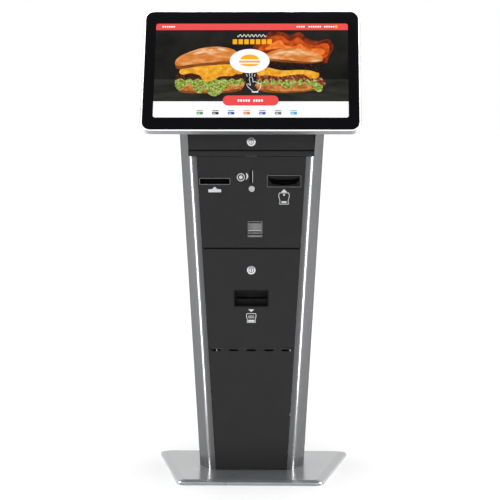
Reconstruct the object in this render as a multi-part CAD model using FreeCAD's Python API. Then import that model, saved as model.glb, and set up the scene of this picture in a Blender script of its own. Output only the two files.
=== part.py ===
"""Self-service payment terminal: a tapered floor cabinet with a tilted touch display on top.

Millimetres, +Z up, the user stands on the -Y side. The origin is the centre of the base on the floor.
Each function builds one sub-part or one group of like sub-parts and writes it to parts/NAME.step.
"""

import FreeCAD
import Part
import math
import os

V = FreeCAD.Vector

# Driving dimensions
BASE_DEPTH = 436.0
BASE_REAR_WIDTH = 550.0
BASE_FRONT_WIDTH = 390.0
BASE_CORNER = 26.0
PLATE_THICK = 8.0
COVER_TOP = 12.0
FRONT_Y = -68.0            # front plane of the cabinet
CABINET_DEPTH = 250.0
FLOOR_Z = COVER_TOP        # the cabinet stands on the base cover
HALF_AT_FLOOR = 120.8      # half width of the front at the base cover
TAPER = 0.0591             # growth of the half width per millimetre of height
CHAMFER_WIDTH = 24.0
CHAMFER_DEPTH = 42.0
TRIM_RADIUS = 22.0
SHEET = 2.0
SEAM = 1.6                 # visible gap between neighbouring panels
HINGE_SEAM_Z = 350.0       # top of the plinth panel
DOOR_SEAM_Z = 629.0        # between the lower door and the fascia
HOOD_Z = 882.0             # lower edge of the hood
HOOD_HALF = 172.0
TILT = 31.0                # display leans back from the vertical
HEAD_WIDTH = 595.0
HEAD_HEIGHT = 382.4
HEAD_CORNER = 28.0
HEAD_CENTRE_Z = 1115.7
RIM_DEPTH = 16.0
SHELL_DEPTH = 40.0
ROOF_THICK = 3.0
SCREEN_WIDTH = 527.0
SCREEN_HEIGHT = 296.5
LOCK_RADIUS = 12.0
HOOD_LOCK_Z = 920.6
DOOR_LOCK_Z = 568.7
CARD_X, CARD_Z = -100.0, 812.4
COIN_X, COIN_Z = 0.5, 825.6
BUTTON_X, BUTTON_Z = 1.4, 792.5
NOTE_X, NOTE_Z = 89.6, 813.2
CUP_X, CUP_Z = 10.4, 681.6
RECEIPT_Z = 490.0
REAR_DOOR_HALF = 105.0
REAR_DOOR_LOW = 120.0
REAR_DOOR_HIGH = 1000.0

# Places worked out from the driving dimensions
REAR_Y = FRONT_Y + CABINET_DEPTH
SLOPE = 1.0 / math.tan(math.radians(TILT))     # rise of the display's back per millimetre of depth
SIDE_TOP_Z = 1000.6                            # top of the side panels at the front plane
HEAD_BACK_Z = HEAD_CENTRE_Z - (RIM_DEPTH + SHELL_DEPTH) / math.sin(math.radians(TILT))
ROOF_LIFT = HEAD_BACK_Z - ROOF_THICK / math.sin(math.radians(TILT)) - SIDE_TOP_Z
RIDGE_DEPTH = 66.0                             # where the sloped top meets the roof
ROOF_REAR_Z = 1060.0
RIDGE_Z = SIDE_TOP_Z + SLOPE * RIDGE_DEPTH
HEAD_HINGE_Y = REAR_Y + 5.0
HEAD_HINGE_Z = ROOF_REAR_Z + 6.0
DOOR_HINGE_Y = FRONT_Y
DOOR_HINGE_Z = HINGE_SEAM_Z + SEAM / 2
REAR_HINGE_X = -REAR_DOOR_HALF - 3.0
REAR_HINGE_Y = REAR_Y + 4.4


def half_front(z):
    """Half width of the cabinet's front at height z."""
    return HALF_AT_FLOOR + TAPER * (z - FLOOR_Z)


def box(x0, x1, y0, y1, z0, z1):
    return Part.makeBox(x1 - x0, y1 - y0, z1 - z0, V(x0, y0, z0))


def centred(x, half_x, y0, y1, z, half_z):
    """Box about x and z, from y0 to y1."""
    return box(x - half_x, x + half_x, y0, y1, z - half_z, z + half_z)


def rod(x, y, z, radius, length, axis):
    return Part.makeCylinder(radius, length, V(x, y, z), V(*axis))


def prism(points, along):
    """Solid from a closed outline of points, swept along a vector."""
    return Part.Face(Part.makePolygon(points + points[:1])).extrude(V(*along))


def side_prism(profile, x0, x1):
    """Solid from a (y, z) outline, between two x planes."""
    return prism([V(x0, y, z) for y, z in profile], (x1 - x0, 0, 0))


def front_prism(outline, y0, y1):
    """Solid from an (x, z) outline, between two y planes."""
    return prism([V(x, y0, z) for x, z in outline], (0, y1 - y0, 0))


def rounded_wire(half_x, half_y, radius, z=0.0):
    """Rounded rectangle about the origin at height z."""
    a, b, r = half_x - radius, half_y - radius, radius
    d = r * math.sqrt(0.5)
    edges = []
    for sx, sy, turn in ((1, 1, 0), (-1, 1, 1), (-1, -1, 0), (1, -1, 1)):
        flat_end = V(sx * half_x, sy * b, z)
        top_end = V(sx * a, sy * half_y, z)
        middle = V(sx * (a + d), sy * (b + d), z)
        ends = (flat_end, top_end) if turn == 0 else (top_end, flat_end)
        edges.append(Part.Arc(ends[0], middle, ends[1]).toShape())
    wires = []
    for i, arc in enumerate(edges):
        following = edges[(i + 1) % 4]
        wires.append(arc)
        wires.append(Part.makeLine(arc.Vertexes[-1].Point, following.Vertexes[0].Point))
    return Part.Wire(wires)


def rounded_block(half_x, half_y, radius, z0, z1):
    return Part.Face(rounded_wire(half_x, half_y, radius, z0)).extrude(V(0, 0, z1 - z0))


def tilted(shape):
    """Carries a shape from the display's own frame (x, up the slope, out of the glass) to its place."""
    turn = FreeCAD.Rotation(V(1, 0, 0), 90.0 - TILT)
    placed = shape.copy()
    placed.Placement = FreeCAD.Placement(V(0, FRONT_Y, HEAD_CENTRE_Z), turn)
    return placed


def mirrored(shape):
    return shape.mirror(V(0, 0, 0), V(1, 0, 0))


def group(*shapes):
    return Part.makeCompound(list(shapes))


def save(name, shape):
    solids = shape.Solids
    assert solids and all(s.isValid() for s in solids), name
    if len(solids) == 1:
        solids[0].exportStep(f"parts/{name}.step")
    else:
        Part.makeCompound(solids).exportStep(f"parts/{name}.step")
    print(f"{name:26s} {len(solids):3d} solids {sum(s.Volume for s in solids) / 1000:10.2f} cm3")


# Base: a steel ballast plate under a bevelled sheet cover
def base_outline(inset, z):
    """Rounded trapezoid, wide at the rear."""
    y0, y1 = -BASE_DEPTH / 2 + inset, BASE_DEPTH / 2 - inset
    slant = (BASE_REAR_WIDTH - BASE_FRONT_WIDTH) / 2 / BASE_DEPTH
    side = inset * math.hypot(1.0, slant)
    half0 = BASE_FRONT_WIDTH / 2 + slant * inset - side
    half1 = BASE_REAR_WIDTH / 2 - slant * inset - side
    corners = [V(half0, y0, z), V(half1, y1, z), V(-half1, y1, z), V(-half0, y0, z)]
    radius = BASE_CORNER - inset * 0.6
    edges = []
    spans = []
    for i, corner in enumerate(corners):
        before = (corners[i - 1] - corner).normalize()
        after = (corners[(i + 1) % 4] - corner).normalize()
        half_turn = before.getAngle(after) / 2
        reach = radius / math.tan(half_turn)
        start, end = corner + before * reach, corner + after * reach
        bisector = (before + after).normalize()
        middle = corner + bisector * (radius / math.sin(half_turn) - radius)
        spans.append((start, end))
        edges.append(Part.Arc(start, middle, end).toShape())
    joined = []
    for i, arc in enumerate(edges):
        joined.append(arc)
        joined.append(Part.makeLine(spans[i][1], spans[(i + 1) % 4][0]))
    return Part.Wire(joined)


def base_parts():
    lip, bevel = 5.0, 20.0
    rings = [base_outline(0.0, 0.0), base_outline(0.0, lip), base_outline(2.5, lip + 3.0)]
    rings.append(base_outline(bevel, COVER_TOP))
    body = Part.makeLoft(rings, True, True)
    hollow = Part.Face(base_outline(4.0, 0.0)).extrude(V(0, 0, PLATE_THICK - 2.5))
    inner = Part.Face(base_outline(bevel, 0.0)).extrude(V(0, 0, PLATE_THICK))
    window = box(-90, 90, FRONT_Y + 50, REAR_Y - 40, 0, 20)
    save("base_cover", body.cut(hollow).cut(inner).cut(window))
    plate = Part.Face(base_outline(bevel + 1.0, 0.0)).extrude(V(0, 0, PLATE_THICK))
    for x in (-70, 70):
        for y in (0, 120):
            plate = plate.cut(rod(x, y, -1, 6.5, 20, (0, 0, 1)))
    plate = plate.cut(rod(0, 60, -1, 25.0, 20, (0, 0, 1)))
    save("base_plate", plate)


# Cabinet shell: folded side panels with a chamfered front edge, corner trims, skirt and top sheets
def side_outline(z):
    """Plan outline of the right-hand folded side panel at height z."""
    h = half_front(z)
    y0 = FRONT_Y + 20.0
    y1 = y0 + CHAMFER_DEPTH
    y2 = REAR_Y - 2.5
    wide = h + CHAMFER_WIDTH
    points = [(h, y0), (wide, y1), (wide, y2), (wide - 22, y2), (wide - 22, y2 - SHEET)]
    points += [(wide - SHEET, y2 - SHEET), (wide - SHEET, y1 + 0.6), (h - 1.8, y0 + 1.1)]
    return Part.makePolygon([V(x, y, z) for x, y in points + points[:1]])


def top_profile(raise_by, front, back):
    """(y, z) points along the sloped top, from the front depth to the back depth."""
    ridge = (FRONT_Y + RIDGE_DEPTH, RIDGE_Z + raise_by)
    fall = (ROOF_REAR_Z - RIDGE_Z) / (CABINET_DEPTH - RIDGE_DEPTH)
    start = (FRONT_Y + front, SIDE_TOP_Z + raise_by + SLOPE * front)
    end = (FRONT_Y + back, RIDGE_Z + raise_by + fall * (back - RIDGE_DEPTH))
    return [start, ridge, end]


def cabinet_shell():
    tall = RIDGE_Z + 20
    side = Part.makeLoft([side_outline(FLOOR_Z), side_outline(tall)], True, True)
    cap = top_profile(0.0, -20.0, CABINET_DEPTH + 20)
    above = side_prism(cap + [(cap[2][0], tall + 60), (cap[0][0], tall + 60)], 60, 320)
    side = side.cut(above)
    save("side_panel_right", side)
    save("side_panel_left", mirrored(side))
    rings = []
    for z in (FLOOR_Z, HOOD_Z - SEAM):
        h, r, t = half_front(z), TRIM_RADIUS, 3.0
        c = V(h - r, FRONT_Y + r, z)
        d = math.sqrt(0.5)
        outer = Part.Arc(c + V(0, -r, 0), c + V(r * d, -r * d, 0), c + V(r, 0, 0))
        inner = Part.Arc(c + V(r - t, 0, 0), c + V((r - t) * d, (t - r) * d, 0), c + V(0, t - r, 0))
        ends = [Part.makeLine(c + V(r, 0, 0), c + V(r - t, 0, 0))]
        ends.append(Part.makeLine(c + V(0, t - r, 0), c + V(0, -r, 0)))
        rings.append(Part.Wire([outer.toShape(), ends[0], inner.toShape(), ends[1]]))
    trim = Part.makeLoft(rings, True, True)
    clear = Part.makeLoft([side_outline(FLOOR_Z), side_outline(tall)], True, True)
    trim = trim.cut(clear)
    save("corner_trims", group(trim, mirrored(trim)))
    bracket = box(60, half_front(FLOOR_Z) + 21, -8, REAR_Y - 50, FLOOR_Z, FLOOR_Z + 3)
    upright = box(90, 93, -8, REAR_Y - 50, FLOOR_Z + 3, FLOOR_Z + 30)
    foot = bracket.fuse(upright).cut(box(0, 200, FRONT_Y, -8, 0, 60))
    for y in (0, 120):
        foot = foot.cut(rod(70, y, 0, 6.5, 40, (0, 0, 1)))
    save("foot_brackets", group(foot, mirrored(foot)))


def cavity():
    """Space between the side panels' inner faces, from the base cover to the sloped top."""
    rings = []
    for z in (FLOOR_Z, RIDGE_Z + 20):
        h = half_front(z)
        y0, y1, y2 = FRONT_Y + 21.1, FRONT_Y + 20.6 + CHAMFER_DEPTH, REAR_Y - 4.5
        wide = h + CHAMFER_WIDTH - SHEET
        right = [(h - 1.8, y0), (wide, y1), (wide, y2)]
        points = right + [(-x, y) for x, y in reversed(right)]
        rings.append(Part.makePolygon([V(x, y, z) for x, y in points + points[:1]]))
    return Part.makeLoft(rings, True, True)


def cross_member(y0, y1, z0, z1):
    """Sheet that spans the cabinet from side panel to side panel."""
    return box(-300, 300, y0, y1, z0, z1).common(cavity())


def angle_bar(y0, z0, depth, height):
    """Folded cross bar: an upright flange at y0 and a shelf flange at its foot."""
    upright = cross_member(y0, y0 + SHEET, z0, z0 + height)
    return upright.fuse(cross_member(y0, y0 + depth, z0, z0 + SHEET)).removeSplitter()


# Front panels: folded pans between the corner trims
def panel_half(z):
    return half_front(z) - TRIM_RADIUS - 0.8


def pan(z0, z1, flange=13.0):
    """Folded front pan, tapered like the cabinet, with a return flange all round."""
    def outline(inset):
        lo, hi = z0 + inset, z1 - inset
        a, b = panel_half(lo) - inset, panel_half(hi) - inset
        return [(-a, lo), (a, lo), (b, hi), (-b, hi)]
    outer = front_prism(outline(0), FRONT_Y, FRONT_Y + flange)
    return outer.cut(front_prism(outline(SHEET), FRONT_Y + SHEET, FRONT_Y + flange + 1))


CARD_HALF, NOTE_HALF = (42.8, 9.5), (47.0, 16.5)
CUP_HALF = (20.0, 21.5)
RECEIPT_HALF = (47.5, 23.0)
COIN_HALF = (4.0, 17.0)
BUTTON_RADIUS = 8.75


# Lower door hinge: a thin rod in the seam, held by lugs on the plinth and turning in the door's barrels
BARREL_X = (-97.0, -48.5, 0.0, 48.5, 97.0)
LUG_X = (-72.75, -24.25, 24.25, 72.75)
BARREL_HALF = 11.5
BARREL_RADIUS = 2.4
LUG_HALF = 2.5
LUG_RADIUS = 1.6
HINGE_ROD_RADIUS = 0.7
HINGE_PLAY = 0.08


def on_hinge_axis(x0, x1, radius):
    return rod(x0, DOOR_HINGE_Y, DOOR_HINGE_Z, radius, x1 - x0, (1, 0, 0))


def plinth_with_lugs():
    plinth = pan(FLOOR_Z + 1.0, HINGE_SEAM_Z)
    for x in BARREL_X:
        reach = BARREL_HALF + 0.8
        plinth = plinth.cut(box(x - reach, x + reach, FRONT_Y - 1, FRONT_Y + 14, HINGE_SEAM_Z - 6, HINGE_SEAM_Z + 1))
    for x in LUG_X:
        foot = box(x - LUG_HALF, x + LUG_HALF, FRONT_Y, FRONT_Y + SHEET, HINGE_SEAM_Z - 2, DOOR_HINGE_Z)
        lug = on_hinge_axis(x - LUG_HALF, x + LUG_HALF, LUG_RADIUS).fuse(foot)
        plinth = plinth.fuse(lug).cut(on_hinge_axis(x - 4, x + 4, HINGE_ROD_RADIUS))
    return plinth.removeSplitter()


def door_with_barrels():
    door = pan(HINGE_SEAM_Z + SEAM, DOOR_SEAM_Z - SEAM)
    for x in LUG_X:
        door = door.cut(box(x - LUG_HALF - 0.6, x + LUG_HALF + 0.6, FRONT_Y - 1, FRONT_Y + SHEET + 0.2,
                            HINGE_SEAM_Z, DOOR_HINGE_Z + SHEET))
    for x in BARREL_X:
        door = door.fuse(on_hinge_axis(x - BARREL_HALF, x + BARREL_HALF, BARREL_RADIUS))
        door = door.cut(on_hinge_axis(x - BARREL_HALF - 1, x + BARREL_HALF + 1, HINGE_ROD_RADIUS + HINGE_PLAY))
    return door.removeSplitter()


def lock_keeps():
    """Angle plates on the cross bars that the lock cams turn behind."""
    y = FRONT_Y
    door = box(-15, 15, y + 19, y + 34, 640, 642).fuse(box(-15, 15, y + 19, y + 21, 598, 642))
    hood = box(-15, 15, y + 13.6, y + 34, 868, 870).fuse(box(-15, 15, y + 13.6, y + 15.6, 868, 892))
    return door.removeSplitter(), hood.removeSplitter()


def front_panels():
    save("plinth_panel", plinth_with_lugs())
    door = door_with_barrels()
    door = door.cut(centred(0, RECEIPT_HALF[0] + 0.4, FRONT_Y - 1, FRONT_Y + 4, RECEIPT_Z,
                            RECEIPT_HALF[1] + 0.4))
    save("lower_door_panel", door.cut(rod(0, FRONT_Y - 1, DOOR_LOCK_Z, 9.2, 5, (0, 1, 0))))
    fascia = pan(DOOR_SEAM_Z, HOOD_Z - SEAM)
    for x, z, half in ((CARD_X, CARD_Z, CARD_HALF), (NOTE_X, NOTE_Z, NOTE_HALF),
                       (CUP_X, CUP_Z, CUP_HALF), (COIN_X, COIN_Z, COIN_HALF)):
        fascia = fascia.cut(centred(x, half[0] + 0.3, FRONT_Y - 1, FRONT_Y + 4, z, half[1] + 0.3))
    fascia = fascia.cut(rod(BUTTON_X, FRONT_Y - 1, BUTTON_Z, BUTTON_RADIUS + 0.4, 5, (0, 1, 0)))
    save("fascia_panel", fascia)
    bar_y = FRONT_Y + 34.0
    bars = [angle_bar(bar_y, z, 18, 20) for z in (200.0, 640.0, 858.0)]
    save("cross_bars", group(*bars, *lock_keeps()))
    save("door_hinge_rod", on_hinge_axis(-110, 110, HINGE_ROD_RADIUS))


# Cam locks: a flanged body fixed in its panel, a key plug that turns, and a cam on the plug's tail
def cam_lock(name, x, face_y, z, out, tail_x, tail_z):
    """Lock in a panel whose outer face is at face_y and looks along out: -1 to the user, +1 to the rear."""
    def span(a, b, radius):
        return rod(x, face_y + out * a, z, radius, abs(b - a), (0, math.copysign(1, (b - a) * out), 0))
    flange_height, cam_start, cam_thick = 2.4, 22.2, 2.0
    flange = span(0.0, flange_height, LOCK_RADIUS)
    front = face_y + out * flange_height
    rim = [e for e in flange.Edges if abs(e.BoundBox.Center.y - front) < 1e-6]
    body = flange.makeFillet(1.0, rim).fuse(span(0.0, -20.0, 9.0)).cut(span(3.0, -21.0, 6.1))
    save(name + "_lock_body", body.removeSplitter())
    y0, y1 = sorted((face_y + out * 3, face_y - out * 8))
    keyway = centred(x, 0.9, y0, y1, z, 3.6)
    plug = span(1.8, -cam_start, 6.0).cut(keyway)
    y0, y1 = sorted((face_y - out * cam_start, face_y - out * (cam_start + cam_thick)))
    xs, zs = sorted((x, x + tail_x)), sorted((z, z + tail_z))
    half_x, half_z = (6.0, 0.0) if tail_z else (0.0, 6.0)
    tail = box(xs[0] - half_x, xs[1] + half_x, y0, y1, zs[0] - half_z, zs[1] + half_z)
    cam = box(x - 7, x + 7, y0, y1, z - 7, z + 7).fuse(tail).removeSplitter()
    save(name + "_lock_plug", group(plug, cam))


# Fascia fittings: card slot, coin slot, reject button, coin return and note mouth
def card_unit():
    x, z, (a, b) = CARD_X, CARD_Z, CARD_HALF
    ring = rounded_block(a, b, 3.0, 0, 13.5)
    mouth = rounded_block(a - 2.2, b - 2.2, 1.6, -1, 11.0)
    slit = box(-29, 29, -1.6, 1.6, 0, 20)
    bezel = ring.cut(mouth).cut(slit)
    bezel.rotate(V(0, 0, 0), V(1, 0, 0), -90)
    bezel.translate(V(x, FRONT_Y - 1.5, z))
    save("card_bezel", bezel)
    body = centred(x, 38, FRONT_Y + 12, FRONT_Y + 130, z, 20)
    save("card_reader", body.cut(centred(x, 28, FRONT_Y + 11, FRONT_Y + 90, z, 1.2)))


def coin_unit():
    plate = centred(COIN_X, COIN_HALF[0], FRONT_Y - 0.8, FRONT_Y + 3, COIN_Z, COIN_HALF[1])
    slot = centred(COIN_X - 0.6, 1.8, FRONT_Y - 3, FRONT_Y + 5, COIN_Z, 15.2)
    save("coin_slot_plate", plate.cut(slot))
    body = box(-31, 29, FRONT_Y + 14.5, FRONT_Y + 84, 742, 866)
    body = body.cut(centred(COIN_X - 0.6, 1.8, FRONT_Y + 13, FRONT_Y + 60, COIN_Z, 15.2))
    save("coin_validator", body.cut(cross_member(FRONT_Y + 33.9, FRONT_Y + 53, 857, 881)))
    face = rod(BUTTON_X, FRONT_Y - 5, BUTTON_Z, BUTTON_RADIUS, 15, (0, 1, 0))
    rim = [e for e in face.Edges if abs(e.BoundBox.Center.y - (FRONT_Y - 5)) < 1e-6]
    face = face.makeFillet(1.6, rim)
    save("reject_button", face)
    bush = rod(BUTTON_X, FRONT_Y + SHEET, BUTTON_Z, 12.0, 9, (0, 1, 0))
    save("reject_button_bush", bush.cut(rod(BUTTON_X, FRONT_Y, BUTTON_Z, BUTTON_RADIUS + 0.15, 20, (0, 1, 0))))
    a, b = CUP_HALF
    x, z = CUP_X, CUP_Z
    cup = centred(x, a, FRONT_Y - 1.5, FRONT_Y + 34, z, b)
    cup = cup.cut(box(x - a + 2, x + a - 2, FRONT_Y - 3, FRONT_Y + 32, z - b + 6, z + b - 2))
    lip = box(x - a, x + a, FRONT_Y - 8, FRONT_Y - 1.5, z - b, z - b + 6)
    lip = lip.cut(box(x - a + 2, x + a - 2, FRONT_Y - 6, FRONT_Y, z - b + 2, z - b + 7))
    chute = box(x - 9, x + 9, FRONT_Y + 8, FRONT_Y + 26, z + b - 3, z + b + 1)
    pin = rod(x - a + 2, FRONT_Y - 0.5, z + b - 5.4, 1.0, 2 * a - 4, (1, 0, 0))
    save("coin_cup", cup.fuse(lip).cut(chute).fuse(pin).removeSplitter())
    flap = box(x - a + 2.4, x + a - 2.4, FRONT_Y - 1.2, FRONT_Y + 0.6, z - 12.5, z + b - 4)
    flap = flap.fuse(box(x - a + 2.4, x + a - 2.4, FRONT_Y - 3.4, FRONT_Y - 1.2, z - 12.5, z - 9.5))
    barrel = rod(x - a + 2.4, FRONT_Y - 0.5, z + b - 5.4, 1.8, 2 * a - 4.8, (1, 0, 0))
    bore = rod(x - a, FRONT_Y - 0.5, z + b - 5.4, 1.05, 2 * a, (1, 0, 0))
    save("coin_return_flap", flap.fuse(barrel).cut(bore).removeSplitter())
    channel = box(x - 10, x + 10, FRONT_Y + 7, FRONT_Y + 27, z + b, 741.5)
    channel = channel.cut(box(x - 8.5, x + 8.5, FRONT_Y + 8.5, FRONT_Y + 25.5, z + b - 1, 743))
    drop = box(-31, -11, FRONT_Y + 60, FRONT_Y + 84, 642, 741.5)
    drop = drop.cut(box(-29, -13, FRONT_Y + 62, FRONT_Y + 82, 640, 743))
    save("coin_chutes", group(channel, drop))


def note_unit():
    x, z, (a, b) = NOTE_X, NOTE_Z, NOTE_HALF
    block = rounded_block(a, b, 2.5, 0, 15.0)
    block.rotate(V(0, 0, 0), V(1, 0, 0), -90)
    block.translate(V(x, FRONT_Y - 3, z))
    y = FRONT_Y - 4
    roof = Part.Arc(V(x - 41, y, z + 9), V(x, y, z + 5), V(x + 41, y, z + 9)).toShape()
    sill = Part.Arc(V(x + 33, y, z - 7), V(x, y, z - 11), V(x - 33, y, z - 7)).toShape()
    sides = [Part.makeLine(V(x + 41, y, z + 9), V(x + 41, y, z + 2))]
    sides.append(Part.makeLine(V(x + 41, y, z + 2), V(x + 33, y, z - 7)))
    left = [Part.makeLine(V(x - 33, y, z - 7), V(x - 41, y, z + 2))]
    left.append(Part.makeLine(V(x - 41, y, z + 2), V(x - 41, y, z + 9)))
    mouth = Part.Face(Part.Wire([roof, *sides, sill, *left])).extrude(V(0, 13.5, 0))
    slit = centred(x, 34, FRONT_Y, FRONT_Y + 20, z - 1, 1.6)
    save("note_bezel", block.cut(mouth).cut(slit))
    body = box(x - 46, x + 46, FRONT_Y + 55, FRONT_Y + 150, 765, 905)
    neck = box(x - 40, x + 40, FRONT_Y + 14.5, FRONT_Y + 55, z - 18, z + 18)
    slot = centred(x, 34, FRONT_Y + 13, FRONT_Y + 120, z - 1, 1.4)
    save("note_validator", body.fuse(neck).cut(slot).removeSplitter())
    stacker = box(x - 44, x + 44, FRONT_Y + 150.5, FRONT_Y + 205, 765.2, 900)
    grip = box(x - 20, x + 20, FRONT_Y + 200, FRONT_Y + 210, 820, 850)
    save("note_cash_box", stacker.cut(grip))


# Receipt outlet on the lower door, and the printer behind it
def receipt_unit():
    a, b = RECEIPT_HALF
    tray = centred(0, a, FRONT_Y - 0.6, FRONT_Y + 26, RECEIPT_Z, b)
    hollow = centred(0, a - 2.5, FRONT_Y - 2, FRONT_Y + 24, RECEIPT_Z, b - 2.5)
    slot = box(-41, 41, FRONT_Y + 20, FRONT_Y + 30, RECEIPT_Z - 3, RECEIPT_Z + 3)
    blade = box(-42, 42, FRONT_Y + 17, FRONT_Y + 24, RECEIPT_Z + 4, RECEIPT_Z + 6.5)
    bar = box(-42, 42, FRONT_Y + 14, FRONT_Y + 24, RECEIPT_Z - 9, RECEIPT_Z - 4)
    lips = [blade, bar]
    save("receipt_tray", tray.cut(hollow).cut(slot).fuse(lips).removeSplitter())
    front = FRONT_Y + 30
    body = box(-52, 52, front, front + 80, 447, 520)
    throat = box(-41, 41, front - 1, front + 60, RECEIPT_Z - 3, RECEIPT_Z + 3)
    body = body.cut(throat)
    lid = box(-50, 50, front + 4, front + 76, 520, 523)
    save("printer_lid", lid.cut(box(-15, 15, front + 60, front + 70, 522, 524)))
    feet = [rod(x, y, 446, 5, 2, (0, 0, 1)) for x in (-42, 42) for y in (front + 10, front + 70)]
    save("receipt_printer", body.fuse(feet).removeSplitter())
    roll = rod(-40, front + 132, 492, 40, 80, (1, 0, 0))
    save("paper_roll", roll.cut(rod(-45, front + 132, 492, 6.1, 100, (1, 0, 0))))
    spindle = rod(-45.5, front + 132, 492, 6.0, 91, (1, 0, 0))
    cheeks = []
    for s in (-44, 44):
        cheek = box(s - 1.5, s + 1.5, front + 115, front + 149, 446, 505)
        cheeks.append(cheek)
    save("paper_roll_holder", spindle.fuse(cheeks).removeSplitter())
    shelf = cross_member(FRONT_Y + 30, REAR_Y - 20, 444, 446)
    save("printer_shelf", shelf.fuse(cross_member(FRONT_Y + 60, FRONT_Y + 62, 424, 444)).removeSplitter())


# Display head: built in its own frame, z out of the glass with the glass face at 0
def head_unit():
    a, b, r = HEAD_WIDTH / 2, HEAD_HEIGHT / 2, HEAD_CORNER
    rim_wall = 5.0
    rim = rounded_block(a, b, r, -RIM_DEPTH, 1.0)
    rim = rim.makeFillet(1.8, [e for e in rim.Edges if abs(e.BoundBox.ZMin - 1) < 1e-6 and abs(e.BoundBox.ZMax - 1) < 1e-6])
    save("head_rim", tilted(rim.cut(rounded_block(a - rim_wall, b - rim_wall, r - rim_wall, -20, 5))))
    glass_half = (a - rim_wall - 0.3, b - rim_wall - 0.3)
    save("cover_glass", tilted(rounded_block(*glass_half, r - rim_wall - 0.3, -4.0, 0.0)))
    half_w, half_h = SCREEN_WIDTH / 2, SCREEN_HEIGHT / 2
    save("display_panel", tilted(Part.makeBox(2 * half_w + 12, 2 * half_h + 12, 10.3, V(-half_w - 6, -half_h - 6, -14.8))))
    tray = rounded_block(*glass_half, r - rim_wall - 0.3, -RIM_DEPTH, -4.0)
    bed = Part.makeBox(2 * half_w + 13, 2 * half_h + 13, 12, V(-half_w - 6.5, -half_h - 6.5, -14.8))
    save("display_tray", tilted(tray.cut(bed)))
    shell_a, shell_b, back = 268.0, 156.0, -RIM_DEPTH - SHELL_DEPTH
    rings = [rounded_wire(shell_a + 12, shell_b + 2, 24, -RIM_DEPTH), rounded_wire(shell_a, shell_b - 4, 20, back)]
    outer = Part.makeLoft(rings, True, True)
    rings = [rounded_wire(shell_a + 9.5, shell_b - 0.5, 22, -RIM_DEPTH + 1), rounded_wire(shell_a - 2.5, shell_b - 6.5, 18, back + 2.5)]
    shell = outer.cut(Part.makeLoft(rings, True, True))
    for side in (-1, 1):
        for i in range(9):
            x = side * (200.0 + 5.5 * i)
            shell = shell.cut(Part.makeBox(2.6, 60, 10, V(x - 1.3, 60, back - 4)))
    save("head_rear_shell", tilted(shell))
    board = Part.makeBox(150, 110, 2, V(-75, -40, -34))
    heat = Part.makeBox(40, 40, 9, V(-20, -5, -32))
    posts = []
    for x in (-68, 68):
        for y in (-33, 63):
            posts.append(Part.makeCylinder(3.5, 17.0, V(x, y, -RIM_DEPTH), V(0, 0, -1)))
    save("display_driver_board", tilted(board.fuse([heat] + posts).removeSplitter()))


def roof_outline(front, back):
    """(y, z) outline of the folded roof sheet, from the front depth to the back depth."""
    under = top_profile(ROOF_LIFT, front, back)
    fall = (under[2][1] - under[1][1]) / (under[2][0] - under[1][0])
    rise_front = ROOF_THICK / math.sin(math.radians(TILT))
    rise_back = ROOF_THICK * math.hypot(1.0, fall)
    shift = (rise_front - rise_back) / (SLOPE - fall)
    ridge = (under[1][0] - shift, under[1][1] + rise_front - SLOPE * shift)
    over = [(under[0][0], under[0][1] + rise_front), ridge, (under[2][0], under[2][1] + rise_back)]
    return under, over


def roof_under(depth):
    """Height of the roof sheet's underside on its front slope."""
    return SIDE_TOP_Z + ROOF_LIFT + SLOPE * depth


def head_mounting():
    under, over = roof_outline(-5.0, CABINET_DEPTH - 0.6)
    save("roof_sheet", side_prism(under + over[::-1], -205.0, 205.0))
    y, low = FRONT_Y, HOOD_Z
    skin = [(11, low), (-6, low), (-8, low + 3), (-8, low + 13), (-5, low + 17)]
    skin += [(-5, roof_under(-5)), (-3, roof_under(-3)), (-3, low + 17.6), (-6, low + 13.6)]
    skin += [(-6, low + 3.6), (-5.2, low + SHEET), (11, low + SHEET)]
    hood = side_prism([(y + dy, z) for dy, z in skin], -HOOD_HALF, HOOD_HALF)
    cheek = [(19.4, low), (-6, low), (-8, low + 3), (-8, low + 13), (-5, low + 17)]
    cheek += [(-5, roof_under(-5)), (19.4, roof_under(19.4))]
    for x in (-HOOD_HALF, HOOD_HALF - SHEET):
        hood = hood.fuse(side_prism([(y + dy, z) for dy, z in cheek], x, x + SHEET))
    hood = hood.cut(rod(0, y - 20, HOOD_LOCK_Z, 9.2, 30, (0, 1, 0)))
    save("hood", hood.removeSplitter())
    leaf_thick, barrel_radius, pin_radius = 2.5, 5.0, 2.5
    fall = (over[2][1] - over[1][1]) / (over[2][0] - over[1][0])
    upper, lower = [], []
    y, z = HEAD_HINGE_Y, HEAD_HINGE_Z
    ends = [(dy, over[2][1] + fall * (dy - over[2][0])) for dy in (REAR_Y - 25, y - 2.5)]
    wedge = ends + [(dy, dz + leaf_thick) for dy, dz in reversed(ends)]
    for x in (-140, 140):
        for k in range(3):
            x0 = x - 30 + 20 * k + 0.3
            barrel = rod(x0, y, z, barrel_radius, 19.4, (1, 0, 0))
            if k == 1:
                lower.append(barrel.fuse(box(x0, x0 + 19.4, REAR_Y, REAR_Y + 3, z - 25, z)))
            else:
                upper.append(barrel.fuse(side_prism(wedge, x0, x0 + 19.4)))
    bores = group(*[rod(x - 40, y, z, pin_radius + 0.08, 80, (1, 0, 0)) for x in (-140, 140)])
    save("head_hinge_upper", group(*[p.cut(bores).removeSplitter() for p in upper]))
    snug = group(*[rod(x - 40, y, z, pin_radius, 80, (1, 0, 0)) for x in (-140, 140)])
    pins = [rod(x - 31, y, z, pin_radius, 62, (1, 0, 0)) for x in (-140, 140)]
    save("head_hinge_lower", group(*[p.cut(snug).removeSplitter() for p in lower], *pins))


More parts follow.
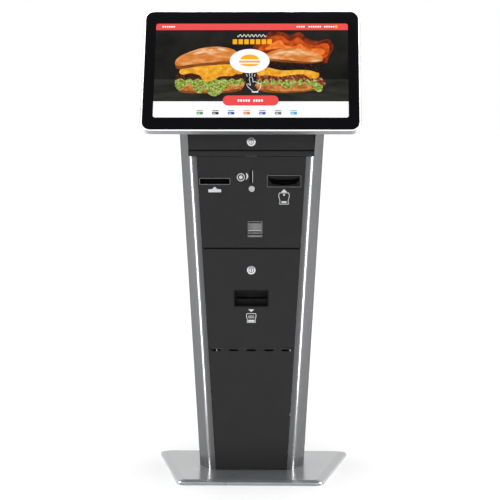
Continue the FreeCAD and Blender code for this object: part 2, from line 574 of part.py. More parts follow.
# Rear: fixed frame, hinged door with vents, fan, power inlet and switch
def rear_unit():
    low, high = FLOOR_Z + 1.0, ROOF_REAR_Z - 0.5
    a, b = half_front(low) + CHAMFER_WIDTH - 0.2, half_front(high) + CHAMFER_WIDTH - 0.2
    frame = front_prism([(-a, low), (a, low), (b, high), (-b, high)], REAR_Y - 2.4, REAR_Y)
    hole = box(-REAR_DOOR_HALF - 1.5, REAR_DOOR_HALF + 1.5, REAR_Y - 5, REAR_Y + 5, REAR_DOOR_LOW - 1.5, REAR_DOOR_HIGH + 1.5)
    inlet_x, inlet_z = 60.0, 66.0
    frame = frame.cut(hole).cut(centred(inlet_x, 14.2, REAR_Y - 5, REAR_Y + 5, inlet_z, 24.2))
    gland = rod(-60, REAR_Y - 5, inlet_z, 10.0, 10, (0, 1, 0))
    save("rear_frame", frame.cut(gland))
    door = box(-REAR_DOOR_HALF, REAR_DOOR_HALF, REAR_Y - 12, REAR_Y, REAR_DOOR_LOW, REAR_DOOR_HIGH)
    door = door.cut(box(-REAR_DOOR_HALF + 2, REAR_DOOR_HALF - 2, REAR_Y - 13, REAR_Y - 2, REAR_DOOR_LOW + 2, REAR_DOOR_HIGH - 2))
    for z0 in (170.0, 880.0):
        for i in range(8):
            door = door.cut(centred(0, 45, REAR_Y - 5, REAR_Y + 5, z0 + 10 * i, 2.2))
    door = door.cut(rod(82, REAR_Y - 5, 560, 9.2, 10, (0, 1, 0)))
    cam_lock("rear", 82.0, REAR_Y, 560.0, 1, 21.0, 0.0)
    door_side, frame_side, pins = [], [], []
    for z in (220.0, 560.0, 900.0):
        for k in range(3):
            z0 = z - 30 + 20 * k + 0.2
            barrel = rod(REAR_HINGE_X, REAR_HINGE_Y, z0, 4.0, 19.6, (0, 0, 1))
            reach = box(0, 14, REAR_Y, REAR_Y + 2, z0, z0 + 19.6)
            reach.translate(V(REAR_HINGE_X if k == 1 else REAR_HINGE_X - 14, 0, 0))
            bore = rod(REAR_HINGE_X, REAR_HINGE_Y, z0 - 1, 2.0 if k != 1 else 2.08, 22, (0, 0, 1))
            (door_side if k == 1 else frame_side).append(barrel.fuse(reach).cut(bore).removeSplitter())
        pins.append(rod(REAR_HINGE_X, REAR_HINGE_Y, z - 30, 2.0, 60, (0, 0, 1)))
    save("rear_door_panel", door.fuse(door_side).removeSplitter())
    save("rear_hinge_leaves", group(*frame_side, *pins))
    fan_z, fan_y = 205.0, REAR_Y - 22.0
    ring = centred(0, 40, fan_y, fan_y + 20, fan_z, 40).cut(rod(0, fan_y - 1, fan_z, 37.5, 30, (0, 1, 0)))
    arms = group(*[centred(0, 38.0, fan_y + 17, fan_y + 20, fan_z, 2), centred(0, 2, fan_y + 17, fan_y + 20, fan_z, 38.0)])
    hub = rod(0, fan_y + 15.5, fan_z, 15, 4.5, (0, 1, 0))
    axle = rod(0, fan_y + 3, fan_z, 2.0, 13, (0, 1, 0))
    save("fan_frame", ring.fuse(list(arms.Solids) + [hub, axle]).removeSplitter())
    rotor = rod(0, fan_y + 1, fan_z, 14, 14, (0, 1, 0))
    for i in range(7):
        blade = box(12, 36, fan_y + 7, fan_y + 8.6, fan_z - 10, fan_z + 10)
        blade.rotate(V(0, fan_y + 7.8, fan_z), V(1, 0, 0), 28)
        blade.rotate(V(0, fan_y + 8, fan_z), V(0, 1, 0), 360 / 7 * i)
        rotor = rotor.fuse(blade)
    rotor = rotor.common(rod(0, fan_y + 0.5, fan_z, 36.5, 14.6, (0, 1, 0)))
    save("fan_rotor", rotor.cut(rod(0, fan_y, fan_z, 2.1, 20, (0, 1, 0))).removeSplitter())
    inlet = centred(inlet_x, 14, REAR_Y - 30, REAR_Y, inlet_z, 24)
    inlet = inlet.fuse(centred(inlet_x, 17, REAR_Y, REAR_Y + 2, inlet_z, 27))
    inlet = inlet.cut(centred(inlet_x, 10, REAR_Y - 18, REAR_Y + 5, inlet_z - 9, 7.5))
    inlet = inlet.cut(centred(inlet_x, 10.5, REAR_Y - 12, REAR_Y + 5, inlet_z + 12, 7.5))
    blades = group(*[centred(inlet_x + dx, 0.8, REAR_Y - 18, REAR_Y - 4, inlet_z - 9 + dz, 2)
                     for dx, dz in ((-6, -1), (0, 3), (6, -1))])
    save("power_inlet", inlet.fuse(blades.Solids))
    pivot_z = inlet_z + 12
    rocker = side_prism([(REAR_Y - 6, pivot_z - 6), (REAR_Y + 1.2, pivot_z - 6), (REAR_Y - 1.5, pivot_z),
                         (REAR_Y + 1.2, pivot_z + 6), (REAR_Y - 6, pivot_z + 6)], inlet_x - 10, inlet_x + 10)
    trunnions = rod(inlet_x - 10.4, REAR_Y - 4, pivot_z, 1.5, 20.8, (1, 0, 0))
    save("power_switch", rocker.fuse(trunnions).removeSplitter())
    grommet = rod(-60, REAR_Y - 6, inlet_z, 12.5, 10, (0, 1, 0))
    groove = rod(-60, REAR_Y - 2.4, inlet_z, 20, 2.4, (0, 1, 0)).cut(rod(-60, REAR_Y - 3, inlet_z, 10, 5, (0, 1, 0)))
    save("cable_grommet", grommet.cut(rod(-60, REAR_Y - 7, inlet_z, 7.5, 15, (0, 1, 0))).cut(groove))


# Inside: shelves, computer, power supply and coin box
def inner_units():
    save("lower_shelf", cross_member(FRONT_Y + 55, REAR_Y - 45, 226, 228))
    y0, y1 = FRONT_Y + 60, REAR_Y - 55
    save("computer", box(-15, 145, y0, y1, 228, 272))
    save("power_supply", box(-140, -30, y0, y1, 228, 284))
    coin_box = box(-70, 70, FRONT_Y + 62, FRONT_Y + 190, 554.2, 634)
    coin_box = coin_box.cut(box(-68, 68, FRONT_Y + 64, FRONT_Y + 188, 556.2, 640))
    pull = box(-25, 25, FRONT_Y + 56, FRONT_Y + 62, 596, 600)
    save("coin_box", coin_box.fuse(pull).removeSplitter())
    rails = [box(x - 1, x + 1, FRONT_Y + 60, FRONT_Y + 200, 554, 570) for x in (-72.5, 72.5)]
    save("coin_shelf", cross_member(FRONT_Y + 52, REAR_Y - 30, 552, 554).fuse(rails).removeSplitter())
    ledge = cross_member(FRONT_Y + 55, FRONT_Y + 205, 763, 765)
    save("validator_shelf", ledge.cut(box(-40, 38, 0 - 200, REAR_Y, 700, 800)))


def main():
    os.makedirs("parts", exist_ok=True)
    base_parts()
    cabinet_shell()
    front_panels()
    cam_lock("door", 0.0, FRONT_Y, DOOR_LOCK_Z, -1, 0.0, 26.0)
    cam_lock("hood", 0.0, FRONT_Y - 5.0, HOOD_LOCK_Z, -1, 0.0, -26.0)
    card_unit()
    coin_unit()
    note_unit()
    receipt_unit()
    head_unit()
    head_mounting()
    rear_unit()
    inner_units()


main()
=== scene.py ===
import math

import bmesh
import bpy
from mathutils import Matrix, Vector


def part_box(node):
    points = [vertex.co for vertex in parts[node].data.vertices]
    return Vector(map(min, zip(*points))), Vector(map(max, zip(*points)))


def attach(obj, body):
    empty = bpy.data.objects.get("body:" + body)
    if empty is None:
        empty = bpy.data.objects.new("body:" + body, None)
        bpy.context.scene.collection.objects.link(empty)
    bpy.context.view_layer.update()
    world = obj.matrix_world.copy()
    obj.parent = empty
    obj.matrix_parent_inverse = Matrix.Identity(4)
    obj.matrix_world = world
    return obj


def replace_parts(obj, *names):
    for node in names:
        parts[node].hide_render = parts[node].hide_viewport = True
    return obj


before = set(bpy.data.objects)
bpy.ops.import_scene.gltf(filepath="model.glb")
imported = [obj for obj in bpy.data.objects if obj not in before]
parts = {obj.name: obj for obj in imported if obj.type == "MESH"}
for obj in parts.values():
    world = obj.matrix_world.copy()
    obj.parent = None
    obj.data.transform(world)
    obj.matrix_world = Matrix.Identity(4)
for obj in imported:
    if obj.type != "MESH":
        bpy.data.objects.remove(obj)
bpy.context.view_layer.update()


# Base: a flat steel ballast plate lies on the floor under a bevelled sheet cover.
# The cover is sprayed in silver metallic paint and lacquered; the plate is bare brushed steel.
def new_finish(name, colour, metallic=0.0, roughness=0.5):
    """A finish with its shader's own sockets set; nodes are added to it afterwards."""
    finish = bpy.data.materials.new(name)
    finish.use_nodes = True
    shader = finish.node_tree.nodes["Principled BSDF"]
    shader.inputs["Base Color"].default_value = (*colour, 1.0)
    shader.inputs["Metallic"].default_value = metallic
    shader.inputs["Roughness"].default_value = roughness
    return finish, finish.node_tree, shader


def grain(tree, scale, detail=2.0, stretch=(1.0, 1.0, 1.0)):
    """Noise in metres, stretched along the way the real grain runs."""
    place = tree.nodes.new("ShaderNodeTexCoord")
    run = tree.nodes.new("ShaderNodeMapping")
    run.inputs["Scale"].default_value = stretch
    noise = tree.nodes.new("ShaderNodeTexNoise")
    noise.inputs["Scale"].default_value = scale
    noise.inputs["Detail"].default_value = detail
    tree.links.new(place.outputs["Object"], run.inputs["Vector"])
    tree.links.new(run.outputs["Vector"], noise.inputs["Vector"])
    return noise.outputs["Fac"]


NOISE_LOW, NOISE_HIGH = 0.3, 0.7     # nearly all values of a noise lie between these
RELIEF_STRENGTH = 0.6


def vary(tree, amount, low, high, socket):
    """Sends a noise to a number socket, kept between low and high."""
    span = tree.nodes.new("ShaderNodeMapRange")
    span.inputs["From Min"].default_value = NOISE_LOW
    span.inputs["From Max"].default_value = NOISE_HIGH
    span.inputs["To Min"].default_value = low
    span.inputs["To Max"].default_value = high
    tree.links.new(amount, span.inputs["Value"])
    tree.links.new(span.outputs["Result"], socket)


def tint(tree, amount, stops, socket):
    """Sends a noise to a colour socket through a ramp of (place, colour) stops."""
    ramp = tree.nodes.new("ShaderNodeValToRGB")
    marks = ramp.color_ramp.elements
    while len(marks) < len(stops):
        marks.new(0.5)
    for mark, (at, colour) in zip(marks, stops):
        mark.position = at
        mark.color = (*colour, 1.0)
    tree.links.new(amount, ramp.inputs["Fac"])
    tree.links.new(ramp.outputs["Color"], socket)


def emboss(tree, amount, shader, depth):
    """Turns a noise into surface relief, depth in metres."""
    bump = tree.nodes.new("ShaderNodeBump")
    bump.inputs["Distance"].default_value = depth
    bump.inputs["Strength"].default_value = RELIEF_STRENGTH
    tree.links.new(amount, bump.inputs["Height"])
    tree.links.new(bump.outputs["Normal"], shader.inputs["Normal"])


def dress(finish, *names):
    """Puts one finish on every slot of the named CAD parts."""
    for name in names:
        for slot in parts[name].material_slots:
            slot.material = finish


def silver_paint():
    finish, tree, shader = new_finish("silver_paint", (0.30, 0.305, 0.315), 0.70, 0.26)
    flake = grain(tree, 2600.0, 1.0)
    tint(tree, flake, [(0.35, (0.24, 0.245, 0.255)), (0.65, (0.36, 0.365, 0.375))],
         shader.inputs["Base Color"])
    orange_peel = grain(tree, 220.0, 3.0)
    vary(tree, grain(tree, 9.0, 3.0), 0.27, 0.31, shader.inputs["Roughness"])
    emboss(tree, orange_peel, shader, 0.000004)
    shader.inputs["Coat Weight"].default_value = 0.6
    shader.inputs["Coat Roughness"].default_value = 0.16
    return finish


GRAIN_STRETCH = 0.03       # share of its length that a noise keeps along the grain
GRAIN_DARK = 0.72          # darker streaks, as a share of the steel's own colour


def brushed_steel(name, colour, along):
    """Bare or plated steel with its rolling grain along one axis: 0, 1 or 2."""
    finish, tree, shader = new_finish(name, colour, 1.0, 0.36)
    stretch = [1.0, 1.0, 1.0]
    stretch[along] = GRAIN_STRETCH
    lines = grain(tree, 900.0, 2.0, stretch)
    vary(tree, lines, 0.26, 0.46, shader.inputs["Roughness"])
    deep = tuple(GRAIN_DARK * c for c in colour)
    tint(tree, grain(tree, 40.0, 4.0, stretch), [(0.3, deep), (0.7, colour)], shader.inputs["Base Color"])
    emboss(tree, lines, shader, 0.00001)
    return finish


dress(silver_paint(), "base_cover")
dress(brushed_steel("ballast_steel", (0.33, 0.34, 0.36), 0), "base_plate")


# Hidden framework: foot brackets, cross bars with the lock keeps, shelves and the coin box.
# All are folded zinc-plated sheet, spot welded or screwed between the two side panels.
zinc = brushed_steel("zinc_plate", (0.56, 0.57, 0.58), 0)
dress(zinc, "foot_brackets", "cross_bars", "printer_shelf", "lower_shelf", "coin_shelf", "validator_shelf",
      "coin_box")


# Side panels: one folded sheet a side, chamfered towards the front and turned in at the rear.
# Brushed along their height and lacquered in the base cover's silver, coloured darker here as painted shade;
# the grain shows.
def shaded_silver_paint():
    # Painted shade: the base cover's silver, darkened to the tone the sides take in the light.
    finish, tree, shader = new_finish("shaded_silver_paint", (0.115, 0.117, 0.122), 0.60, 0.19)
    lines = grain(tree, 1100.0, 2.0, (1.0, 1.0, 0.02))
    vary(tree, grain(tree, 7.0, 3.0, (1.0, 1.0, 0.3)), 0.17, 0.21, shader.inputs["Roughness"])
    tint(tree, lines, [(0.3, (0.100, 0.102, 0.107)), (0.7, (0.130, 0.132, 0.137))],
         shader.inputs["Base Color"])
    emboss(tree, lines, shader, 0.000003)
    shader.inputs["Specular IOR Level"].default_value = 0.3
    return finish


dress(shaded_silver_paint(), "side_panel_left", "side_panel_right")


# Front and rear sheetwork: plinth, lower door, fascia, hood, roof, rear frame, rear door and head shell.
# Folded steel pans in black powder coat, which dries with a fine leathery texture; the head shell's
# coat is rougher and duller.
def powder_coat(name, low, high, gloss):
    finish, tree, shader = new_finish(name, (0.009, 0.0092, 0.0098), 0.0, low)
    speckle = grain(tree, 1500.0, 3.0)
    vary(tree, grain(tree, 14.0, 3.0), low, high, shader.inputs["Roughness"])
    tint(tree, speckle, [(0.3, (0.0065, 0.0067, 0.0072)), (0.7, (0.0120, 0.0122, 0.0130))],
         shader.inputs["Base Color"])
    emboss(tree, speckle, shader, 0.00005)
    shader.inputs["Specular IOR Level"].default_value = gloss
    return finish


dress(powder_coat("black_powder_coat", 0.36, 0.50, 0.34), "plinth_panel", "lower_door_panel",
      "fascia_panel", "hood", "roof_sheet", "rear_frame", "rear_door_panel")
dress(powder_coat("matt_powder_coat", 0.62, 0.74, 0.12), "head_rear_shell")


# Printed symbols: pale grey screen print beside each slot, showing what goes in or comes out.
# Each is an ink film a tenth of a millimetre thick, on the front panels' faces.
FRONT_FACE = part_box("fascia_panel")[0][1]
INK_THICKNESS = 0.0001


def pale_ink():
    finish, tree, shader = new_finish("pale_ink", (0.76, 0.77, 0.78), 0.0, 0.55)
    tint(tree, grain(tree, 1200.0), [(0.3, (0.68, 0.69, 0.70)), (0.7, (0.82, 0.83, 0.84))],
         shader.inputs["Base Color"])
    return finish


def rounded_outline(half_x, half_z, radius, steps=5):
    """Corners of a rounded rectangle about the origin, anticlockwise."""
    points = []
    for quarter, (sx, sz) in enumerate(((1, 1), (-1, 1), (-1, -1), (1, -1))):
        for i in range(steps + 1):
            turn = math.radians(90.0 * (quarter + i / steps))
            points.append((sx * (half_x - radius) + radius * math.cos(turn),
                           sz * (half_z - radius) + radius * math.sin(turn)))
    return points


def round_outline(radius_x, radius_z, steps=36):
    turns = [math.tau * i / steps for i in range(steps)]
    return [(radius_x * math.cos(t), radius_z * math.sin(t)) for t in turns]


def stroke(points, width):
    """Outline of a line of even width along an open run of points."""
    left, right = [], []
    for i, (x, z) in enumerate(points):
        x0, z0 = points[max(i - 1, 0)]
        x1, z1 = points[min(i + 1, len(points) - 1)]
        reach = math.hypot(x1 - x0, z1 - z0)
        nx, nz = -(z1 - z0) / reach * width / 2, (x1 - x0) / reach * width / 2
        left.append((x + nx, z + nz))
        right.append((x - nx, z - nz))
    return right + left[::-1]


def moved(outline, x, z):
    return [(px + x, pz + z) for px, pz in outline]


def add_prism(mesh, outline, place, low, high):
    """Adds a flat outline to a mesh as a thin prism; place turns (x, z, height) into a point."""
    floor = [mesh.verts.new(place(x, z, low)) for x, z in outline]
    top = [mesh.verts.new(place(x, z, high)) for x, z in outline]
    count = len(outline)
    mesh.faces.new(floor[::-1])
    mesh.faces.new(top)
    for i in range(count):
        j = (i + 1) % count
        mesh.faces.new((floor[i], floor[j], top[j], top[i]))


def to_piece(name, mesh, finish, body, smooth_below=None):
    """Makes a finished mesh into a piece that rides on a body."""
    bmesh.ops.recalc_face_normals(mesh, faces=mesh.faces[:])
    data = bpy.data.meshes.new(name)
    mesh.to_mesh(data)
    mesh.free()
    data.materials.append(finish)
    piece = bpy.data.objects.new(name, data)
    bpy.context.scene.collection.objects.link(piece)
    if smooth_below:
        for face in data.polygons:
            face.use_smooth = True
        data.set_sharp_from_angle(angle=math.radians(smooth_below))
    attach(piece, body)
    return piece


def on_front(x, z, height):
    return Vector((x, FRONT_FACE - height, z))


def printed_symbol(name, outlines, body):
    mesh = bmesh.new()
    for outline in outlines:
        add_prism(mesh, outline, on_front, 0.0, INK_THICKNESS)
    return to_piece(name, mesh, ink, body)


def middle_of(node):
    low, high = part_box(node)
    return (low[0] + high[0]) / 2, (low[1] + high[1]) / 2, (low[2] + high[2]) / 2


def triangle(x, foot, tip, half_width):
    return [(x - half_width, foot), (x + half_width, foot), (x, tip)]


ink = pale_ink()
card_x, _, card_z = middle_of("card_bezel")
card = moved(rounded_outline(0.0175, 0.0042, 0.0010), card_x, card_z - 0.0258)
card_arrow = triangle(card_x, card_z - 0.0215, card_z - 0.0145, 0.0074)
printed_symbol("card_symbol", [card, card_arrow], "cabinet")

coin_x, _, coin_z = middle_of("coin_slot_plate")
front_coin = (coin_x - 0.0290, coin_z - 0.0020)
rear_coin = (coin_x - 0.0195, coin_z + 0.0005)
COIN_RADIUS, COIN_LINE = 0.0098, 0.0022
coin_rings = []
for first_turn in (0.0, math.pi):
    turns = [first_turn + math.pi * i / 18 for i in range(19)]
    rim_line = [(COIN_RADIUS * math.cos(t), COIN_RADIUS * math.sin(t)) for t in turns]
    coin_rings.append(stroke(moved(rim_line, *front_coin), COIN_LINE))
coin_rings.append(moved(round_outline(0.0052, 0.0052), *front_coin))
crescent = [math.radians(-62.0 + 124.0 * i / 16) for i in range(17)]
outer_edge = [(0.0105 * math.cos(t), 0.0105 * math.sin(t)) for t in crescent]
inner_edge = [(0.0010 + 0.0050 * math.cos(t), 0.0095 * math.sin(t)) for t in reversed(crescent)]
coin_rings.append(moved(outer_edge + inner_edge, *rear_coin))
printed_symbol("coin_symbol", coin_rings, "cabinet")


def wavy_side(x, z0, z1, swell, steps=14):
    return [(x + swell * math.sin(math.tau * i / steps), z0 + (z1 - z0) * i / steps)
            for i in range(steps + 1)]


def waving_paper(x, z, half_x, half_z, swell, width):
    """Line drawing of an upright sheet of paper with waving sides."""
    left = wavy_side(x - half_x, z - half_z, z + half_z, swell)
    right = wavy_side(x + half_x, z - half_z, z + half_z, -swell)
    ends = [[left[i], right[i]] for i in (0, -1)]
    return [stroke(edge, width) for edge in (left, right, *ends)]


PAPER_LINE = 0.0016        # width of the lines that draw a note or a receipt
note_x, _, note_z = middle_of("note_bezel")
sheet_z = note_z - 0.0475
note_lines = waving_paper(note_x, sheet_z, 0.0128, 0.0152, 0.0016, PAPER_LINE)
note_lines.append(triangle(note_x, sheet_z + 0.0165, sheet_z + 0.0255, 0.0092))
note_lines.append(moved(round_outline(0.0028, 0.0028), note_x, sheet_z + 0.0100))
note_lines.append(moved(rounded_outline(0.0068, 0.0024, 0.0008), note_x, sheet_z - 0.0098))
printed_symbol("note_symbol", note_lines, "cabinet")

receipt_x, _, receipt_z = middle_of("receipt_tray")
paper_z = receipt_z - 0.0540
paper_lines = waving_paper(receipt_x, paper_z, 0.0118, 0.0122, 0.0014, PAPER_LINE)
paper_lines.append(triangle(receipt_x, receipt_z - 0.0300, receipt_z - 0.0375, 0.0085))
for figure in (-1, 0, 1):
    turns = [math.tau * i / 20 for i in range(21)]
    for half in (turns[:11], turns[10:]):
        paper_lines.append(stroke([(receipt_x + 0.0056 * figure + 0.0018 * math.cos(t),
                                    paper_z + 0.0030 + 0.0036 * math.sin(t)) for t in half], 0.0010))
paper_lines.append(moved(rounded_outline(0.0085, 0.0026, 0.0006), receipt_x, paper_z - 0.0078))
printed_symbol("receipt_symbol", paper_lines, "lower_door")


# Corner trims: quarter-round extruded strips that hide the edge between front panels and sides.
# Painted graphite and lacquered, and drawn here in straight runs from foot to hood. They have the
# extrusions' radius and wall, and end a little before the full quarter.
TRIM_RADIUS = 0.022
TRIM_WALL = 0.003
TRIM_REACH = math.radians(84.0)
TRIM_STEPS = 24


def graphite_gloss():
    finish, tree, shader = new_finish("graphite_gloss", (0.105, 0.106, 0.110), 0.90, 0.31)
    draw_lines = grain(tree, 500.0, 2.0, (1.0, 1.0, 0.02))
    vary(tree, draw_lines, 0.29, 0.33, shader.inputs["Roughness"])
    shader.inputs["Coat Weight"].default_value = 0.5
    shader.inputs["Coat Roughness"].default_value = 0.14
    return finish


def trim_section(side, half_width, z):
    """Closed section of one trim: round outer face, then back along the inner face."""
    middle = (half_width - TRIM_RADIUS, FRONT_FACE + TRIM_RADIUS)
    turns = [TRIM_REACH * i / TRIM_STEPS for i in range(TRIM_STEPS + 1)]
    ring = [(TRIM_RADIUS, t) for t in turns] + [(TRIM_RADIUS - TRIM_WALL, t) for t in reversed(turns)]
    return [Vector((side * (middle[0] + r * math.sin(t)), middle[1] - r * math.cos(t), z)) for r, t in ring]


trim_low, trim_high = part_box("corner_trims")
trim_corners = [corner.co for corner in parts["corner_trims"].data.vertices]
half_at_foot = max(c.x for c in trim_corners if c.z < trim_low[2] + 0.0005)
trims = bmesh.new()
for side in (-1, 1):
    foot, top = [[trims.verts.new(p) for p in trim_section(side, half_width, z)]
                 for half_width, z in ((half_at_foot, trim_low[2]), (trim_high[0], trim_high[2]))]
    for i in range(len(foot)):
        j = (i + 1) % len(foot)
        trims.faces.new((foot[i], foot[j], top[j], top[i]))
    trims.faces.new(foot[::-1])
    trims.faces.new(top)
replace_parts(to_piece("trim_strips", trims, graphite_gloss(), "cabinet", smooth_below=40),
            "corner_trims")


# Seam shade: a flat black strip behind the gap between the lower door and the fascia, as painted shade in the
# gap.
# A black strip on the door, lapping both edges of the gap, is painted shadow that widens the seam's dark
# line.
def painted_shade_black():
    # Dead black used only as painted shade, in gaps, slots, grooves and mouths.
    finish, tree, shader = new_finish("painted_shade_black", (0.002, 0.002, 0.002), 0.0, 0.95)
    vary(tree, grain(tree, 2500.0), 0.88, 1.0, shader.inputs["Roughness"])
    shader.inputs["Specular IOR Level"].default_value = 0.1
    return finish


shade_black = painted_shade_black()
seam_low, seam_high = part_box("lower_door_panel")[1][2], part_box("fascia_panel")[0][2]
SHADE_SHORT = 0.004         # how far the strip ends inside the door's edge
seam_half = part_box("lower_door_panel")[1][0] - SHADE_SHORT
seam_middle = (seam_low + seam_high) / 2
seam_shade = bmesh.new()
seam_shade_outline = moved(rounded_outline(seam_half, (seam_high - seam_low) / 2 - 0.0001, 0.0002),
                     0.0, seam_middle)
add_prism(seam_shade, seam_shade_outline, on_front, -0.004, -0.0006)
to_piece("seam_shade_strip", seam_shade, shade_black, "cabinet")
# Painted shadow: a black strip on the door's face, lapping the seam's edges.
edge_shadow = bmesh.new()
SHADOW_LAP = 0.0013           # how far the painted shadow reaches over each edge
edge_shadow_outline = moved(rounded_outline(seam_half, (seam_high - seam_low) / 2 + SHADOW_LAP, 0.0006),
                    0.0, seam_middle)
add_prism(edge_shadow, edge_shadow_outline, on_front, 0.00005, 0.0004)
to_piece("door_edge_shadow", edge_shadow, shade_black, "lower_door")


# Cam locks: one in the hood, one in the lower door and one in the rear door.
# Turned brass bodies and key plugs, chromed and polished, with a domed face; the key slot and the face's
# groove are drawn in black as painted shade.
def chrome():
    finish, tree, shader = new_finish("lock_chrome", (0.74, 0.74, 0.76), 1.0, 0.13)
    vary(tree, grain(tree, 500.0, 2.0), 0.09, 0.20, shader.inputs["Roughness"])
    return finish


polished_chrome = chrome()
dress(polished_chrome, "door_lock_body", "door_lock_plug", "hood_lock_body", "hood_lock_plug",
      "rear_lock_body", "rear_lock_plug")


LOCK_STEPS = 40            # corners in each turned circle
GROOVE_RADIUS = 0.0065


def lock_cap(name, body, facing):
    """Slightly domed disc on a key plug's face, with a dished ring; thin black inlays on it are painted shade
    in the key slot and the ring's groove.
    """
    x, _, z = middle_of(name + "_lock_body")
    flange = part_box(name + "_lock_body")
    face = flange[0][1] if facing < 0 else flange[1][1]
    # (radius, height) of the turned face, from the middle outwards
    turned = [(0.0, 0.0019), (0.0030, 0.0018), (0.0056, 0.0013), (0.0061, 0.0004), (0.0066, 0.0003),
              (0.0074, 0.0012), (0.0090, 0.0011), (0.0102, 0.0004), (0.0106, -0.0002)]
    mesh = bmesh.new()
    rings = []
    for radius, height in turned[1:]:
        circle = [math.tau * i / LOCK_STEPS for i in range(LOCK_STEPS)]
        rings.append([mesh.verts.new((x + radius * math.cos(t), face + facing * height,
                                      z + radius * math.sin(t))) for t in circle])
    middle = mesh.verts.new((x, face + facing * turned[0][1], z))
    for i in range(LOCK_STEPS):
        j = (i + 1) % LOCK_STEPS
        mesh.faces.new((middle, rings[0][i], rings[0][j]))
        for inner, outer in zip(rings, rings[1:]):
            mesh.faces.new((inner[i], outer[i], outer[j], inner[j]))
    mesh.faces.new(rings[-1][::-1])
    to_piece(name + "_lock_face", mesh, polished_chrome, body, smooth_below=50)
    # Painted shade: black inlays standing for the key slot and the groove of the dished ring.
    slot = bmesh.new()
    turns = [math.tau * i / LOCK_STEPS for i in range(LOCK_STEPS + 1)]
    shade_marks = [moved(rounded_outline(0.0010, 0.0038, 0.0008), x, z)]
    for half in (turns[:LOCK_STEPS // 2 + 1], turns[LOCK_STEPS // 2:]):
        shade_marks.append(stroke([(x + GROOVE_RADIUS * math.cos(t), z + GROOVE_RADIUS * math.sin(t))
                              for t in half], 0.0009))
    for outline in shade_marks:
        add_prism(slot, outline, lambda px, pz, h: Vector((px, face + facing * h, pz)), 0.0004, 0.00195)
    to_piece(name + "_key_slot_shade", slot, shade_black, body)


lock_cap("hood", "hood_lock", -1)
lock_cap("door", "door_lock", -1)
lock_cap("rear", "rear_lock", 1)


# Moulded black pieces: bezels, receipt tray, button bush, paper holder, inlet, switch, fan and tray.
# Plastic with a fine spark-eroded texture, clipped in from the front; the hinge rod is as black.
PALE_SPECK = 1.35          # paler specks, as a share of the plastic's own colour


def moulded_plastic(name, colour, low, high):
    finish, tree, shader = new_finish(name, colour, 0.0, low)
    texture = grain(tree, 1900.0, 2.0)
    vary(tree, grain(tree, 60.0), low, high, shader.inputs["Roughness"])
    pale = tuple(PALE_SPECK * c for c in colour)
    tint(tree, texture, [(0.3, colour), (0.75, pale)], shader.inputs["Base Color"])
    emboss(tree, texture, shader, 0.00003)
    return finish


black_plastic = moulded_plastic("black_plastic", (0.010, 0.010, 0.011), 0.32, 0.46)
dress(black_plastic, "card_bezel", "reject_button_bush", "paper_roll_holder", "power_inlet", "power_switch",
      "fan_frame", "fan_rotor", "display_tray", "door_hinge_rod")
# Painted shade: the same plastic darker, for the recessed receipt tray and the note bezel round its mouth.
shaded_black = moulded_plastic("shaded_black_plastic", (0.0035, 0.0035, 0.0038), 0.45, 0.60)
shaded_black.node_tree.nodes["Principled BSDF"].inputs["Specular IOR Level"].default_value = 0.2
dress(shaded_black, "note_bezel", "receipt_tray")


def mouth_shade(name, outlines, node, depth):
    """Black sheet at the back of a slot's mouth, as painted shade inside it."""
    mesh = bmesh.new()
    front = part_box(node)[0][1]
    for outline in outlines:
        add_prism(mesh, outline, lambda x, z, h: Vector((x, front + depth - h, z)), 0.0002, 0.0007)
    to_piece(name, mesh, shade_black, "cabinet")


def wrap(mesh, rows):
    """Joins closed rows of corners, each to the next and the last to the first."""
    for here, there in zip(rows, rows[1:] + rows[:1]):
        for i in range(len(here)):
            j = (i + 1) % len(here)
            mesh.faces.new((here[i], here[j], there[j], there[i]))


def edge_ring(name, outline, inner, node, proud):
    """Narrow satin grey band round a mouth, standing a little proud of the bezel's face."""
    mesh = bmesh.new()
    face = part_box(node)[0][1]
    rows = []
    for ring, height in ((outline, 0.0), (outline, proud), (inner, proud), (inner, 0.0)):
        rows.append([mesh.verts.new((x, face - height + 0.0001, z)) for x, z in ring])
    wrap(mesh, rows)
    to_piece(name, mesh, satin_grey, "cabinet")


def half_size(node):
    low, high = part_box(node)
    return (high[0] - low[0]) / 2, (high[2] - low[2]) / 2


satin_grey = moulded_plastic("satin_grey_plastic", (0.16, 0.16, 0.165), 0.30, 0.42)
card_half_x, card_half_z = half_size("card_bezel")


def card_outline(inset, radius):
    return moved(rounded_outline(card_half_x - inset, card_half_z - inset, radius), card_x, card_z)


edge_ring("card_mouth_ring", card_outline(0.0002, 0.0028), card_outline(0.0017, 0.0016),
          "card_bezel", 0.0006)
mouth_shade("card_mouth_shade", [card_outline(0.0024, 0.0015)], "card_bezel", 0.011)

note_half_x, note_half_z = half_size("note_bezel")


def note_outline(inset, radius):
    return moved(rounded_outline(note_half_x - inset, note_half_z - inset, radius), note_x, note_z)


edge_ring("note_bezel_ring", note_outline(0.0002, 0.0023), note_outline(0.0015, 0.0014),
          "note_bezel", 0.0005)
# Painted shade behind the note mouth, above and below its slit.
across = [-1.0 + i / 6 for i in range(13)]
above_slit = [(-0.0385, 0.0001), (0.0385, 0.0001), (0.0405, 0.0021)]
above_slit += [(-0.0405 * s, 0.0048 + 0.0038 * s * s) for s in across] + [(-0.0405, 0.0021)]
below_slit = [(0.0365, -0.0021), (-0.0365, -0.0021)]
below_slit += [(0.0328 * s, -0.0108 + 0.0038 * s * s) for s in across]
mouth_shade("note_mouth_shade", [moved(above_slit, note_x, note_z), moved(below_slit, note_x, note_z)],
             "note_bezel", 0.0119)


